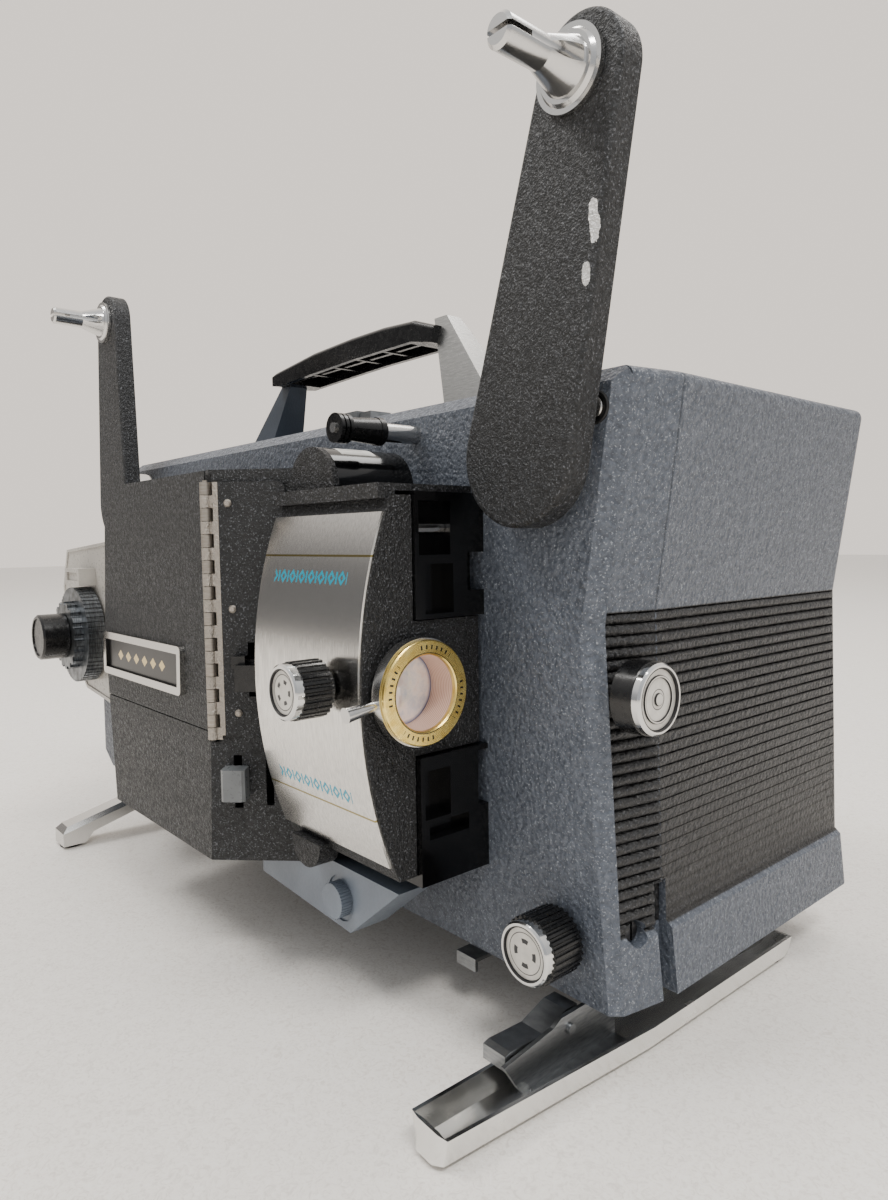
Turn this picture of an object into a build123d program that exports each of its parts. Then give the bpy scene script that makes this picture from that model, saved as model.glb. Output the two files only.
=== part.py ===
"""Portable 8 mm zoom film projector, as an assembly of separate parts, in millimetres.

Layout frame used while modelling: +X is the way the lens looks and X = 0 is the front edge of the
case top, Y = 0 is the film side's face with the film side at -Y, and Z = 0 is the table.
Every part is written with the origin moved to the bottom centre of the whole projector.
"""
from build123d import *
import math
import os

# Case
CASE_LENGTH = 330.0
CASE_TOP = 187.4
CASE_BOTTOM = 18.4
CASE_BACK = 134.6
SEAM_Y = 21.0
CREASE_Y = 3.7
FLARE = 3.4
WALL = 2.5
WAIST_Z = 124.7
WAIST_INSET = 9.1
RIB_BOTTOM_Z = 38.2
RIB_BOTTOM_INSET = 6.6
RIB_RECESS = 1.2
RIB_HEIGHT = 1.2
RIB_COUNT = 28
LIP_TOP_Z = 36.4
LIP_TOP_INSET = 4.6
LIP_BOTTOM_INSET = 2.7

# Reel arms and spindles
ARM_THICKNESS = 7.7
ARM_ROOT_R = 19.0
ARM_TIP_R = 12.8
ARM_TIP_OFFSET = 1.5
ARM_SPAN = 89.5
ARM_LEAN = 12.8
FRONT_ARM_X = -29.8
FRONT_ARM_FACE = -12.0
REAR_ARM_X = -307.0
REAR_ARM_FACE = -19.0
ARM_PIVOT_Z = 166.3
PIVOT_R = 6.0
FIT = 0.05
SPINDLE_R = 3.9
SPINDLE_SHAFT_R = 3.0
FLANGE_R = 9.8
SPINDLE_LENGTH = 24.6
BELT_ROOT_R = 8.5
BELT_TIP_R = 4.6

# Optics
LENS_Y = -27.6
LENS_Z = 103.4
HOUSING_FRONT = -55.0
HOUSING_BACK = -112.0
PLATE_R = 135.0
PLATE_CREST = -44.8
PLATE_MID_Z = 104.0
PLATE_LOW_Z = 54.5
PLATE_HIGH_Z = 152.4
BARREL_R = 12.5
BEZEL_R = 14.5
GLASS_R = 10.4
SPROCKET_X = -99.0
UPPER_SPROCKET_Z = 161.0
LOWER_SPROCKET_Z = 57.0
SPROCKET_R = 8.0
SHROUD_R = 12.8
ROLLER_X = -84.5
ROLLER_Z = 178.0
FOCUS_X = -69.5
FOCUS_Z = 104.9

# Lamp house: the corner offset is where its 45 degree face crosses X - Y
LAMP_LOW_Z = 38.0
LAMP_MID_Z = 105.0
LAMP_TOP_Z = 168.5
DOOR_SEAM_Z = 82.0
LAMP_CORNER = -84.5
LAMP_FACE = -49.0
LAMP_NOSE = -113.0
NAME_REAR = -231.5
NAME_FRONT = -154.0
NAME_LOW_Z = 91.3
NAME_HEIGHT = 17.4
LAMP_X = -168.0
LEVER_X = -128.0
TAB_X = -123.5
LAMP_REAR = -225.0
LAMP_TOP_REAR = -231.5
LAMP_BULGE = -235.0
HINGE_X = -133.0
HINGE_Y = -49.4
HINGE_LOW_Z = 79.5
HINGE_PITCH = 4.25
HINGE_COUNT = 20
KNUCKLE_R = 1.8
HINGE_PIN_R = 0.8
LEAF_THICKNESS = 1.4

# Shutter shaft, motor and belt
SHAFT_Y = 8.6
SHAFT_Z = 103.3
SHAFT_R = 2.5
SHUTTER_X = -124.0
SHUTTER_R = 44.0
MOTOR_Y = 78.0
MOTOR_Z = 62.0
MOTOR_R = 27.0
BELT_X = -60.0
SHAFT_PULLEY_R = 5.8
MOTOR_PULLEY_R = 4.4
MOTOR_SHAFT_R = 2.0

# Tilt gear, feet and dial
TILT_X = -23.8
TILT_Z = 35.6
TILT_PINION_R = 5.0
RACK_X = TILT_X - TILT_PINION_R
FOOT_X = -16.5
FOOT_SKEW = -3.0
REAR_FOOT_X = -292.0
REAR_FOOT_NEAR = -56.0
REAR_FOOT_FAR = 99.0
FOOT_NEAR = -52.0
FOOT_FAR = 98.0
FOOT_TOP = 8.5
PAD_HEIGHT = 1.4
DIAL_X = -276.0
DIAL_Z = 103.5
DIAL_R = 21.8
PANEL_Y = -42.0

# Handle and guard
HANDLE_NEAR = 46.0
HANDLE_FAR = 68.0
GUARD_FRONT = -29.0
GUARD_BACK = -15.3
SCREW_X = -90.0
SCREW_Z = 33.0
CATCH_Y = -4.5
CATCH_Z = 13.4


def box(x0, x1, y0, y1, z0, z1):
    """A block between opposite corners."""
    centre = Pos((x0 + x1) / 2, (y0 + y1) / 2, (z0 + z1) / 2)
    return centre * Box(abs(x1 - x0), abs(y1 - y0), abs(z1 - z0))


def rod_x(x0, x1, y, z, r, r_end=None):
    """A round bar along X, tapering to r_end at x1 where one is given."""
    return Pos(x0, y, z) * Rot(0, 90, 0) * bar(x1 - x0, r, r_end)


def rod_y(y0, y1, x, z, r, r_end=None):
    """A round bar along Y, tapering to r_end at y1 where one is given."""
    return Pos(x, y0, z) * Rot(-90, 0, 0) * bar(y1 - y0, r, r_end)


def rod_z(z0, z1, x, y, r, r_end=None):
    """A round bar along Z, tapering to r_end at z1 where one is given."""
    return Pos(x, y, z0) * bar(z1 - z0, r, r_end)


def bar(length, r, r_end):
    """A bar from the origin along Z, or down it for a negative length."""
    side = 1 if length > 0 else -1
    if r_end is None or r_end == r:
        return Pos(0, 0, length / 2) * Cylinder(r, abs(length))
    turn = Rot(0, 0, 0) if side > 0 else Rot(180, 0, 0)
    return turn * Pos(0, 0, abs(length) / 2) * Cone(r, r_end, abs(length))


def sheet_xz(points, y0, y1):
    """A flat outline of X, Z points, made solid from y0 to y1."""
    wire = Wire.make_polygon([(x, y0, z) for x, z in points])
    return Solid.extrude(Face(wire), Vector(0, y1 - y0, 0))


def sheet_xy(points, z0, z1):
    """A flat outline of X, Y points, made solid from z0 to z1."""
    wire = Wire.make_polygon([(x, y, z0) for x, y in points])
    return Solid.extrude(Face(wire), Vector(0, 0, z1 - z0))


def sheet_yz(points, x0, x1):
    """A flat outline of Y, Z points, made solid from x0 to x1."""
    wire = Wire.make_polygon([(x0, y, z) for y, z in points])
    return Solid.extrude(Face(wire), Vector(x1 - x0, 0, 0))


def knurled(y0, y1, x, z, r, count, groove):
    """A round knob body along Y with grooves cut along its rim."""
    body = rod_y(y0, y1, x, z, r)
    cuts = []
    for i in range(count):
        angle = 2 * math.pi * i / count
        cuts.append(rod_y(y0, y1, x + r * math.cos(angle), z + r * math.sin(angle), groove))
    return body - cuts


# ---------------------------------------------------------------- case

def front_outline(shift):
    """Edges of the front half's outline at Y = 0, moved back by shift, from top to bottom."""
    top = Vector(-shift, 0, CASE_TOP)
    waist = Vector(-shift - WAIST_INSET, 0, WAIST_Z)
    rib_top = waist - Vector(RIB_RECESS, 0, 0)
    rib_low = Vector(-shift - RIB_BOTTOM_INSET, 0, RIB_BOTTOM_Z)
    lip_top = Vector(-shift - LIP_TOP_INSET, 0, LIP_TOP_Z)
    lip_low = Vector(-shift - LIP_BOTTOM_INSET, 0, CASE_BOTTOM)
    step = (rib_low - rib_top) * (1 / RIB_COUNT)
    edges = [Edge.make_line(top, waist), Edge.make_line(waist, rib_top)]
    for i in range(RIB_COUNT):
        start = rib_top + step * i
        crest = start + step * 0.5 + Vector(RIB_HEIGHT, 0, 0)
        edges.append(Edge.make_three_point_arc(start, crest, start + step))
    edges += [Edge.make_line(rib_low, lip_top), Edge.make_line(lip_top, lip_low)]
    return edges


def half_shell(shift, y0, y1, lean):
    """The front half of the case between two planes, with its front wall leaning out by lean."""
    middle = -CASE_LENGTH / 2 - FLARE
    edges = front_outline(shift)
    low = Vector(middle, 0, CASE_BOTTOM)
    high = Vector(middle, 0, CASE_TOP)
    edges.append(Edge.make_line(Vector(-shift - LIP_BOTTOM_INSET, 0, CASE_BOTTOM), low))
    edges.append(Edge.make_line(low, high))
    edges.append(Edge.make_line(high, Vector(-shift, 0, CASE_TOP)))
    face = Face(Wire(edges)).moved(Location((0, y0, 0)))
    return Solid.extrude(face, Vector(lean, y1 - y0, 0))


def both_ends(shape):
    """A front-end shape joined to its mirror image at the rear end of the case."""
    middle = Plane.YZ.offset(-CASE_LENGTH / 2)
    return Part() + [shape, shape.mirror(middle)]


def end_to_end(points):
    """An outline of X, Z points of the front end, continued round the mirrored rear end."""
    rear = [(-CASE_LENGTH - x, z) for x, z in reversed(points)]
    return points + rear


def plateau():
    """The raised film-side face, stepped in from the case's edge by the ledge that seats a lid."""
    outer = end_to_end([(-FLARE, CASE_TOP), (-FLARE - WAIST_INSET, 121.0), (-6.1, CASE_BOTTOM)])
    inner = end_to_end([(-7.5, 183.5), (-17.9, 117.3), (-8.4, CASE_BOTTOM + 0.5)])
    wires = []
    for points, y in ((outer, CREASE_Y), (inner, 0.0)):
        wires.append(Wire.make_polygon([(x, y, z) for x, z in points]))
    return Solid.make_loft(wires, ruled=True)


def seam_notch():
    """The dark slot between the two shells' lower lips."""
    return box(-9.0, 6.0, 17.6, 23.4, CASE_BOTTOM - 5, 50.0)


def mechanism_case():
    """Film-side shell: it carries the whole mechanism on its 2.5 mm face."""
    shell = both_ends(half_shell(FLARE, CREASE_Y, SEAM_Y, FLARE)) + plateau()
    top = shell.edges().filter_by_position(Axis.Z, CASE_TOP - 0.01, CASE_TOP + 0.01)
    shell = fillet([edge for edge in top if abs(edge.center().Y - (CREASE_Y + SEAM_Y) / 2) < 0.1 and edge.length < 30], 2.6)
    room = end_to_end([(-14.0, CASE_TOP - 5), (-23.0, 118.0), (-14.5, CASE_BOTTOM + WALL)])
    shell -= sheet_xz(room, WALL, SEAM_Y)
    for x in (-34.0, -138.0):
        shell += box(x - 4, x + 4, WALL - 0.5, SHAFT_Y + 7, SHAFT_Z - 9, SHAFT_Z + 9)
    shell -= [seam_notch(), rod_x(-11.5, 5.0, 11.0, 38.0, 3.4)]
    shell -= rod_x(-CASE_LENGTH - 5.0, 11.5 - CASE_LENGTH, 11.0, 38.0, 3.4)
    shell -= box(-128.0, -120.0, -1.0, 4.0, 56.0, 150.0)
    shell -= rod_x(-145.0, 5.0, SHAFT_Y, SHAFT_Z, SHAFT_R + FIT)
    shell -= rod_y(-1.0, 4.0, TILT_X, TILT_Z, 2.5 + FIT)
    shell -= box(RACK_X - 4.0 - FIT, RACK_X + FIT, 9.0 - FIT, 15.0 + FIT, CASE_BOTTOM - 1, CASE_BOTTOM + 4)
    for z in (UPPER_SPROCKET_Z, LOWER_SPROCKET_Z):
        shell -= rod_y(-1.0, 4.0, SPROCKET_X, z, 3.0 + FIT)
    shell -= rod_y(-1.0, 4.0, DIAL_X, DIAL_Z, 3.0 + FIT)
    return shell


def cover_envelope():
    """The rear shell's outline without its ribs, with rounded rear edges and a fine chamfer at the seam."""
    points = [(0.0, CASE_TOP), (-WAIST_INSET, WAIST_Z), (-RIB_BOTTOM_INSET, RIB_BOTTOM_Z)]
    points += [(-LIP_TOP_INSET, LIP_TOP_Z), (-LIP_BOTTOM_INSET, CASE_BOTTOM)]
    block = sheet_xz(end_to_end(points), SEAM_Y, CASE_BACK)
    block = fillet(block.edges().filter_by(Axis.Y).group_by(Axis.Z)[-1], 2.6)
    block = fillet(block.edges().group_by(Axis.Y)[-1], 5.5)
    return chamfer(block.edges().group_by(Axis.Y)[0], 0.7)


def back_cover():
    """Deep rear shell with ribbed ends, louvres in its back and an opening for the inlet."""
    cover = both_ends(half_shell(0.0, SEAM_Y, CASE_BACK, 0.0)) & cover_envelope()
    room = end_to_end([(-5.0, CASE_TOP - 3), (-14.0, 124.0), (-10.5, CASE_BOTTOM + WALL)])
    cover -= sheet_xz(room, SEAM_Y, CASE_BACK - WALL)
    cover -= seam_notch()
    slots = []
    for row in range(9):
        z = 62.0 + 8.0 * row
        slots.append(box(-120.0, -60.0, CASE_BACK - 4, CASE_BACK + 1, z, z + 3.2))
        slots.append(box(-240.0, -180.0, CASE_BACK - 4, CASE_BACK + 1, z, z + 3.2))
    cover -= slots
    return cover - box(-340.0, -315.0, 78.0, 102.0, 56.0, 72.0)


def cover_screws():
    """Slotted screws that draw the two shells together at both ends."""
    screws = []
    for x, seat in ((-9.4, -11.5), (9.4 - CASE_LENGTH, 11.5 - CASE_LENGTH)):
        head = rod_x(min(x, seat), max(x, seat), 11.0, 38.0, 2.7)
        slot = box(x - 0.8, x + 0.8, 10.6, 11.4, 34.0, 42.0)
        screws.append(head - slot)
    return Part() + screws


# ---------------------------------------------------------------- reel arms

def tapered(x, z, top_x, top_z, low_r, high_r, y0, y1):
    """A flat bar with round ends of two radii, from (x, z) to (top_x, top_z)."""
    span = math.hypot(top_x - x, top_z - z)
    along = math.atan2(top_z - z, top_x - x)
    spread = math.acos((low_r - high_r) / span)
    corners = []
    for cx, cz, r, side in ((x, z, low_r, 1), (top_x, top_z, high_r, 1),
                            (top_x, top_z, high_r, -1), (x, z, low_r, -1)):
        angle = along + side * spread
        corners.append((cx + r * math.cos(angle), cz + r * math.sin(angle)))
    ends = rod_y(y0, y1, x, z, low_r) + rod_y(y0, y1, top_x, top_z, high_r)
    return sheet_xz(corners, y0, y1) + ends


def arm_tip(x, lean):
    """Where the spindle's axis crosses an arm pivoted at x that leans forward by lean degrees."""
    angle = math.radians(lean)
    return x + ARM_SPAN * math.sin(angle), ARM_PIVOT_Z + ARM_SPAN * math.cos(angle)


def reel_arm(x, face, lean):
    """Tapered arm with softened outer edges, a blind pivot bore, a spindle bore and a belt channel."""
    top_x, top_z = arm_tip(x, lean)
    back = face + ARM_THICKNESS
    arm = tapered(x, ARM_PIVOT_Z, top_x + ARM_TIP_OFFSET, top_z, ARM_ROOT_R, ARM_TIP_R, face, back)
    arm = fillet(arm.edges().group_by(Axis.Y)[0], 1.4)
    arm -= rod_y(back - 5.5, back + 1, x, ARM_PIVOT_Z, PIVOT_R + FIT)
    arm -= rod_y(face - 1, back + 1, top_x, top_z, SPINDLE_SHAFT_R + FIT)
    groove = tapered(x, ARM_PIVOT_Z, top_x, top_z, BELT_ROOT_R + 2.2, BELT_TIP_R + 2.2, back - 2.8, back + 1)
    return arm - groove + (rod_y(back - 2.8, back, x, ARM_PIVOT_Z, 7.6)
                           - rod_y(back - 5.5, back + 1, x, ARM_PIVOT_Z, PIVOT_R + FIT))


def arm_pivot(x, face):
    """Shouldered stud on the case face that the arm turns on."""
    back = face + ARM_THICKNESS
    return rod_y(0.0, back + 0.1, x, ARM_PIVOT_Z, 15.0) + rod_y(back + 1, back - 5.0, x, ARM_PIVOT_Z, PIVOT_R)


def pivot_studs():
    """The studs screwed to the case face: one for each arm and one for the film roller."""
    roller = rod_y(0.0, -14.0, ROLLER_X, ROLLER_Z, 2.9) + rod_y(-13.5, -31.6, ROLLER_X, ROLLER_Z, 1.5)
    return roller + [arm_pivot(FRONT_ARM_X, FRONT_ARM_FACE), arm_pivot(REAR_ARM_X, REAR_ARM_FACE)]


def spindle(x, face, lean):
    """Two-step flange, fluted cone and split tip, with its shaft and belt pulley behind."""
    top_x, top_z = arm_tip(x, lean)
    tip = face - SPINDLE_LENGTH
    body = rod_y(face - 0.15, face - 1.6, top_x, top_z, FLANGE_R)
    body += rod_y(face - 1.5, face - 2.6, top_x, top_z, FLANGE_R - 1.2, FLANGE_R - 2.0)
    body += rod_y(face - 2.5, face - 11.5, top_x, top_z, 6.8, SPINDLE_R)
    body += rod_y(face - 11.0, tip, top_x, top_z, SPINDLE_R)
    body = chamfer(body.edges().group_by(Axis.Y)[0], 0.8)
    body -= box(top_x - 9, top_x + 9, tip - 1, tip + 7.0, top_z - 0.6, top_z + 0.6)
    for side in (-1, 1):
        body -= rod_y(tip - 1, face - 3.4, top_x + side * 5.6, top_z, 1.9)
    body += rod_y(face - 1.0, face + ARM_THICKNESS - 0.6, top_x, top_z, SPINDLE_SHAFT_R)
    return body + rod_y(face + 5.3, face + ARM_THICKNESS - 0.4, top_x, top_z, BELT_TIP_R - 0.1)


# ---------------------------------------------------------------- lamp house

def lamp_section(z, draft, rear, inset):
    """The lamp house's outline at height z, pulled in by inset."""
    plane = LAMP_CORNER - inset * math.sqrt(2)
    face = LAMP_FACE - draft + inset
    nose = LAMP_NOSE - inset
    wall = -WALL if inset else 0.0
    points = [(rear + inset, wall), (rear + inset, face), (plane + face, face), (nose, nose - plane), (nose, wall)]
    return Wire.make_polygon([(x, y, z) for x, y in points])


def lamp_block(inset):
    """The lamp house as one solid: two ruled lofts that meet at its bulging middle."""
    low = lamp_section(LAMP_LOW_Z + inset, 1.6, LAMP_REAR, inset)
    middle = lamp_section(LAMP_MID_Z, 0.3, LAMP_BULGE, inset)
    high = lamp_section(LAMP_TOP_Z - inset, -0.8, LAMP_TOP_REAR, inset)
    return Solid.make_loft([low, middle], ruled=True) + Solid.make_loft([middle, high], ruled=True)


def lamp_door():
    """Door of the lamp house: side panel with its top and rear returns."""
    skin = lamp_block(0.0) - lamp_block(2.0)
    return skin & box(-260.0, HINGE_X - 3.0, -70.0, -24.0, DOOR_SEAM_Z, 200.0)


def lamp_house_body():
    """Fixed part of the lamp house, with its shelf and the condenser's bracket, open to the case."""
    body = lamp_block(0.0) - lamp_block(2.0)
    body -= box(-260.0, HINGE_X - 1.9, -70.0, -23.6, DOOR_SEAM_Z - 0.4, 200.0)
    body += box(-222.0, -131.0, -45.0, -2.4, LAMP_LOW_Z + 6.0, LAMP_LOW_Z + 8.0)
    body += box(-135.0, -131.0, LENS_Y - 11.0, LENS_Y + 11.0, LAMP_LOW_Z + 7.0, LENS_Z + 11.0)
    body -= rod_x(-137.0, -126.0, LENS_Y, LENS_Z, 9.0)
    body -= box(-128.0, -119.5, -36.8, 1.0, 57.0, 150.0)
    body -= rod_x(-128.0, -110.0, LENS_Y, LENS_Z, 8.0)
    body -= turned_45(box(-1.4 - FIT, 1.4 + FIT, -1.0, 4.0, 56.0, 74.0), LEVER_X)
    body -= turned_45(box(-1.3 - FIT, 1.3 + FIT, -1.0, 4.0, 94.0, 112.0), TAB_X)
    return body - rod_z(HINGE_LOW_Z - 1.0, 167.0, HINGE_X, HINGE_Y, KNUCKLE_R + 0.3)


def turned_45(shape, x):
    """A shape made about the origin, with -Y as its front, set on the lamp house's 45 degree face."""
    return Pos(x, x - LAMP_CORNER, 0) * Rot(0, 0, 45) * shape


def knuckles(first, bore):
    """Every second knuckle of the piano hinge, starting with the first or the second."""
    parts = []
    for i in range(first, HINGE_COUNT, 2):
        z = HINGE_LOW_Z + HINGE_PITCH * i
        tube = rod_z(z + 0.1, z + HINGE_PITCH - 0.1, HINGE_X, HINGE_Y, KNUCKLE_R)
        parts.append(tube - rod_z(z, z + HINGE_PITCH, HINGE_X, HINGE_Y, bore))
    return parts


def fixed_leaf():
    """Hinge leaf plate riveted to the 45 degree face, its knuckles, and the long pin they hold."""
    plate = box(2.6, 26.5, -LEAF_THICKNESS, 0.0, DOOR_SEAM_Z - 1.0, 164.4)
    plate = fillet(plate.edges().filter_by(Axis.Y).sort_by(Axis.X)[-2:], 3.0)
    leaf = turned_45(plate, -133.4)
    for i in range(0, HINGE_COUNT, 2):
        z = HINGE_LOW_Z + HINGE_PITCH * i
        leaf += turned_45(box(0.4, 3.2, -LEAF_THICKNESS, 0.0, z + 0.1, z + HINGE_PITCH - 0.1), -133.4)
    for reach, z in ((7.5, 157.5), (8.0, 123.0), (9.0, 88.5)):
        leaf += turned_45(rod_y(-0.9 - LEAF_THICKNESS, 0.1 - LEAF_THICKNESS, reach, z, 0.8, 1.5), -133.4)
    leaf -= turned_45(box(-1.3 - FIT, 1.3 + FIT, -3.0, 1.0, 94.0, 112.0), TAB_X)
    leaf -= rod_z(HINGE_LOW_Z - 1, 168.0, HINGE_X, HINGE_Y, KNUCKLE_R - 0.3)
    top = HINGE_LOW_Z + HINGE_PITCH * HINGE_COUNT
    pin = rod_z(HINGE_LOW_Z - 1.0, top + 0.5, HINGE_X, HINGE_Y, HINGE_PIN_R)
    return leaf + knuckles(0, HINGE_PIN_R - 0.1) + pin


def moving_leaf():
    """Hinge leaf that carries the door: knuckle links, a bend round the door's edge and an inner plate."""
    leaf = Part()
    for i in range(1, HINGE_COUNT, 2):
        z = HINGE_LOW_Z + HINGE_PITCH * i
        leaf += box(HINGE_X - 2.4, HINGE_X, HINGE_Y - 0.5, HINGE_Y + 0.5, z + 0.1, z + HINGE_PITCH - 0.1)
    leaf += box(HINGE_X - 3.0, HINGE_X - 2.2, HINGE_Y - 0.5, HINGE_Y + 3.4, DOOR_SEAM_Z + 2.0, 164.0)
    low, middle, high = (-47.7, DOOR_SEAM_Z + 2.0), (-47.27, LAMP_MID_Z), (-46.2, 164.0)
    inner = [(y + 0.9, z) for y, z in (high, middle, low)]
    leaf += sheet_yz([low, middle, high] + inner, HINGE_X - 12.0, HINGE_X - 2.2)
    leaf -= rod_z(HINGE_LOW_Z - 1, 168.0, HINGE_X, HINGE_Y, KNUCKLE_R - 0.3)
    return leaf + knuckles(1, HINGE_PIN_R + FIT)


def nameplate():
    """Long nameplate on the lamp door: a raised rim round a sunk field."""
    rim = fillet(tilted_plate(0.0, NAME_HEIGHT, 2.0).edges().filter_by(Axis.Y, tolerance=5), 2.0)
    rim -= tilted_plate(2.9, NAME_HEIGHT, 4.0)
    return rim + tilted_plate(2.8, NAME_HEIGHT, 0.8) - lamp_block(0.0)


def tilted_plate(edge, height, thickness):
    """A plate on the lamp door that follows the slope of the door's face, pulled in by edge all round."""
    z0 = NAME_LOW_Z + edge
    z1 = NAME_LOW_Z + height - edge
    x0 = NAME_REAR + edge
    x1 = NAME_FRONT - edge
    points = []
    for z in (z0, z1):
        share = (z - LAMP_LOW_Z) / (LAMP_MID_Z - LAMP_LOW_Z)
        points.append((LAMP_FACE - 1.6 + 1.3 * share, z))
    (y0, low_z), (y1, high_z) = points
    outline = [(y0, low_z), (y1, high_z), (y1 - thickness, high_z), (y0 - thickness, low_z)]
    return sheet_yz(outline, x0, x1)


def lamp_lever():
    """Square grey thumb piece on a stem that slides in the lower slot."""
    head = turned_45(box(-4.0, 4.0, -6.5, -FIT, 60.0, 70.5), LEVER_X)
    head = chamfer(head.edges().filter_by(Axis.Z), 0.9)
    return head + turned_45(box(-1.4, 1.4, -0.8, 5.0, 61.0, 69.0), LEVER_X)


def framing_tab():
    """Black L-shaped finger tab on a stem that slides in the leaf's slot."""
    head = turned_45(box(-3.6, 3.6, -9.0, -LEAF_THICKNESS - FIT, 97.0, 105.5), TAB_X)
    head += turned_45(box(-5.5, -1.0, -6.0, -LEAF_THICKNESS - FIT, 104.0, 108.0), TAB_X)
    return head + turned_45(box(-1.3, 1.3, -2.5, 5.0, 98.5, 106.5), TAB_X)


def lamp_socket():
    """Ceramic socket standing on the lamp house floor."""
    base = rod_z(46.0, 58.0, LAMP_X, LENS_Y, 13.0)
    return base - rod_z(50.0, 59.0, LAMP_X, LENS_Y, 8.0)


def projection_lamp():
    """Tubular projection lamp with a round-topped envelope and a metal base."""
    base = rod_z(50.0, 66.0, LAMP_X, LENS_Y, 7.9)
    envelope = rod_z(66.0, 124.0, LAMP_X, LENS_Y, 12.0) + Pos(LAMP_X, LENS_Y, 124.0) * Sphere(12.0)
    return base + envelope


def lamp_reflector():
    """Concave mirror behind the lamp on a bent stand."""
    dish = Pos(LAMP_X, LENS_Y, LENS_Z) * (Sphere(30.0) - Sphere(28.8))
    dish &= box(LAMP_X - 31, LAMP_X - 22, LENS_Y - 17, LENS_Y + 17, LENS_Z - 17, LENS_Z + 17)
    stand = box(LAMP_X - 30.0, LAMP_X - 28.5, LENS_Y - 6, LENS_Y + 6, 46.0, LENS_Z - 8.0)
    return dish + stand + box(LAMP_X - 40.0, LAMP_X - 28.5, LENS_Y - 6, LENS_Y + 6, 46.0, 47.5)


def condenser_lens():
    """Thick lens that gathers the lamp's light ahead of the shutter."""
    return bulged_glass(-135.0, -130.5, 2.0, 9.0)


# ---------------------------------------------------------------- film gate and lens

def film_gate_body():
    """Glossy black film channel in two blocks, recessed on its front face."""
    upper = box(HOUSING_BACK, -54.0, -26.0, 0.0, 122.6, 158.0)
    lower = box(HOUSING_BACK, -53.0, -26.0, 0.0, 47.0, 84.0)
    body = upper + lower + box(HOUSING_BACK, -100.0, -26.0, 0.0, 80.0, 125.0)
    body -= [box(-62.0, -53.0, -24.5, -13.0, 140.5, 155.5), box(-59.0, -53.0, -22.5, -12.0, 124.0, 138.0)]
    body -= [box(-60.0, -53.9, -6.5, 1.0, 130.0, 141.0), box(-58.0, -50.0, -24.5, -15.0, 66.0, 80.0)]
    body -= [box(-57.0, -50.0, -23.0, -8.0, 60.0, 65.0), box(-58.0, -50.0, -4.0, 1.0, 66.0, 82.5)]
    body -= box(-96.0, -84.0, -22.0, -3.0, 40.0, 159.0)
    for z in (UPPER_SPROCKET_Z, LOWER_SPROCKET_Z):
        body -= rod_y(-27.0, -13.0, SPROCKET_X, z, SPROCKET_R + 1.5)
        body -= rod_y(-14.0, 1.0, SPROCKET_X, z, 3.4)
    body -= rod_x(-113.0, -99.0, LENS_Y, LENS_Z, 8.0)
    return body + rod_y(-25.6, -12.0, -58.0, 148.0, 1.9)


def lens_housing():
    """Crinkle-finished lens block with a curved side, a top flange and a block around the lens."""
    outer = rod_x(HOUSING_BACK, HOUSING_FRONT, PLATE_CREST + PLATE_R, PLATE_MID_Z, PLATE_R - 1.0)
    shell = outer & box(HOUSING_BACK, HOUSING_FRONT, -60.0, -26.2, 50.0, 157.0)
    shell += box(-96.5, HOUSING_FRONT, -38.0, -1.6, 84.4, 122.2)
    shell += box(HOUSING_BACK, -57.0, -36.0, -2.0, 158.2, 160.2)
    shell += box(HOUSING_BACK, -57.0, -36.0, -30.0, 156.0, 160.2)
    shell += rod_y(-37.0, -29.6, -97.0, 51.5, 8.2) & box(-107.0, -87.0, -40.0, -26.2, 41.0, 52.0)
    shell += rod_y(-30.5, -28.5, SPROCKET_X, UPPER_SPROCKET_Z, SHROUD_R) & box(-120.0, -80.0, -40.0, 0.0, 159.0, 180.0)
    shell -= rod_y(-28.5, -13.0, SPROCKET_X, UPPER_SPROCKET_Z, SPROCKET_R + 1.5)
    shell -= box(-96.0, -88.0, -22.0, -13.0, 155.0, 161.0)
    shell -= rod_y(-14.0, 0.0, SPROCKET_X, UPPER_SPROCKET_Z, 3.4)
    shell -= rod_x(-101.0, -50.0, LENS_Y, LENS_Z, BARREL_R + FIT)
    shell -= rod_y(-60.0, -38.0, FOCUS_X, FOCUS_Z, 2.0 + FIT)
    return shell - box(-113.0, -96.5, -41.0, -26.0, 85.0, 122.0)


def face_plate():
    """Curved brushed plate on the lens housing's side."""
    outer = rod_x(HOUSING_BACK + 0.4, HOUSING_FRONT - 0.6, PLATE_CREST + PLATE_R, PLATE_MID_Z, PLATE_R)
    inner = rod_x(HOUSING_BACK - 1, HOUSING_FRONT + 1, PLATE_CREST + PLATE_R, PLATE_MID_Z, PLATE_R - 1.0)
    plate = (outer - inner) & box(HOUSING_BACK, HOUSING_FRONT, -60.0, -20.0, PLATE_LOW_Z, PLATE_HIGH_Z)
    return plate - rod_y(-60.0, -30.0, FOCUS_X, FOCUS_Z, 2.3)


def lens_barrel():
    """Sliding lens tube, stepped inside to seat its glasses."""
    tube = rod_x(-94.0, -49.2, LENS_Y, LENS_Z, BARREL_R)
    tube -= rod_x(-95.0, -48.0, LENS_Y, LENS_Z, GLASS_R - 0.8)
    tube -= rod_x(-62.0, -48.0, LENS_Y, LENS_Z, GLASS_R)
    return tube - rod_x(-95.0, -84.0, LENS_Y, LENS_Z, GLASS_R)


def lens_bezel():
    """Flat ring on the front of the barrel."""
    ring = rod_x(-49.2, -47.6, LENS_Y, LENS_Z, BEZEL_R) - rod_x(-50.0, -47.0, LENS_Y, LENS_Z, GLASS_R)
    return chamfer(ring.edges().group_by(Axis.X)[-1], 0.35)


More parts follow.
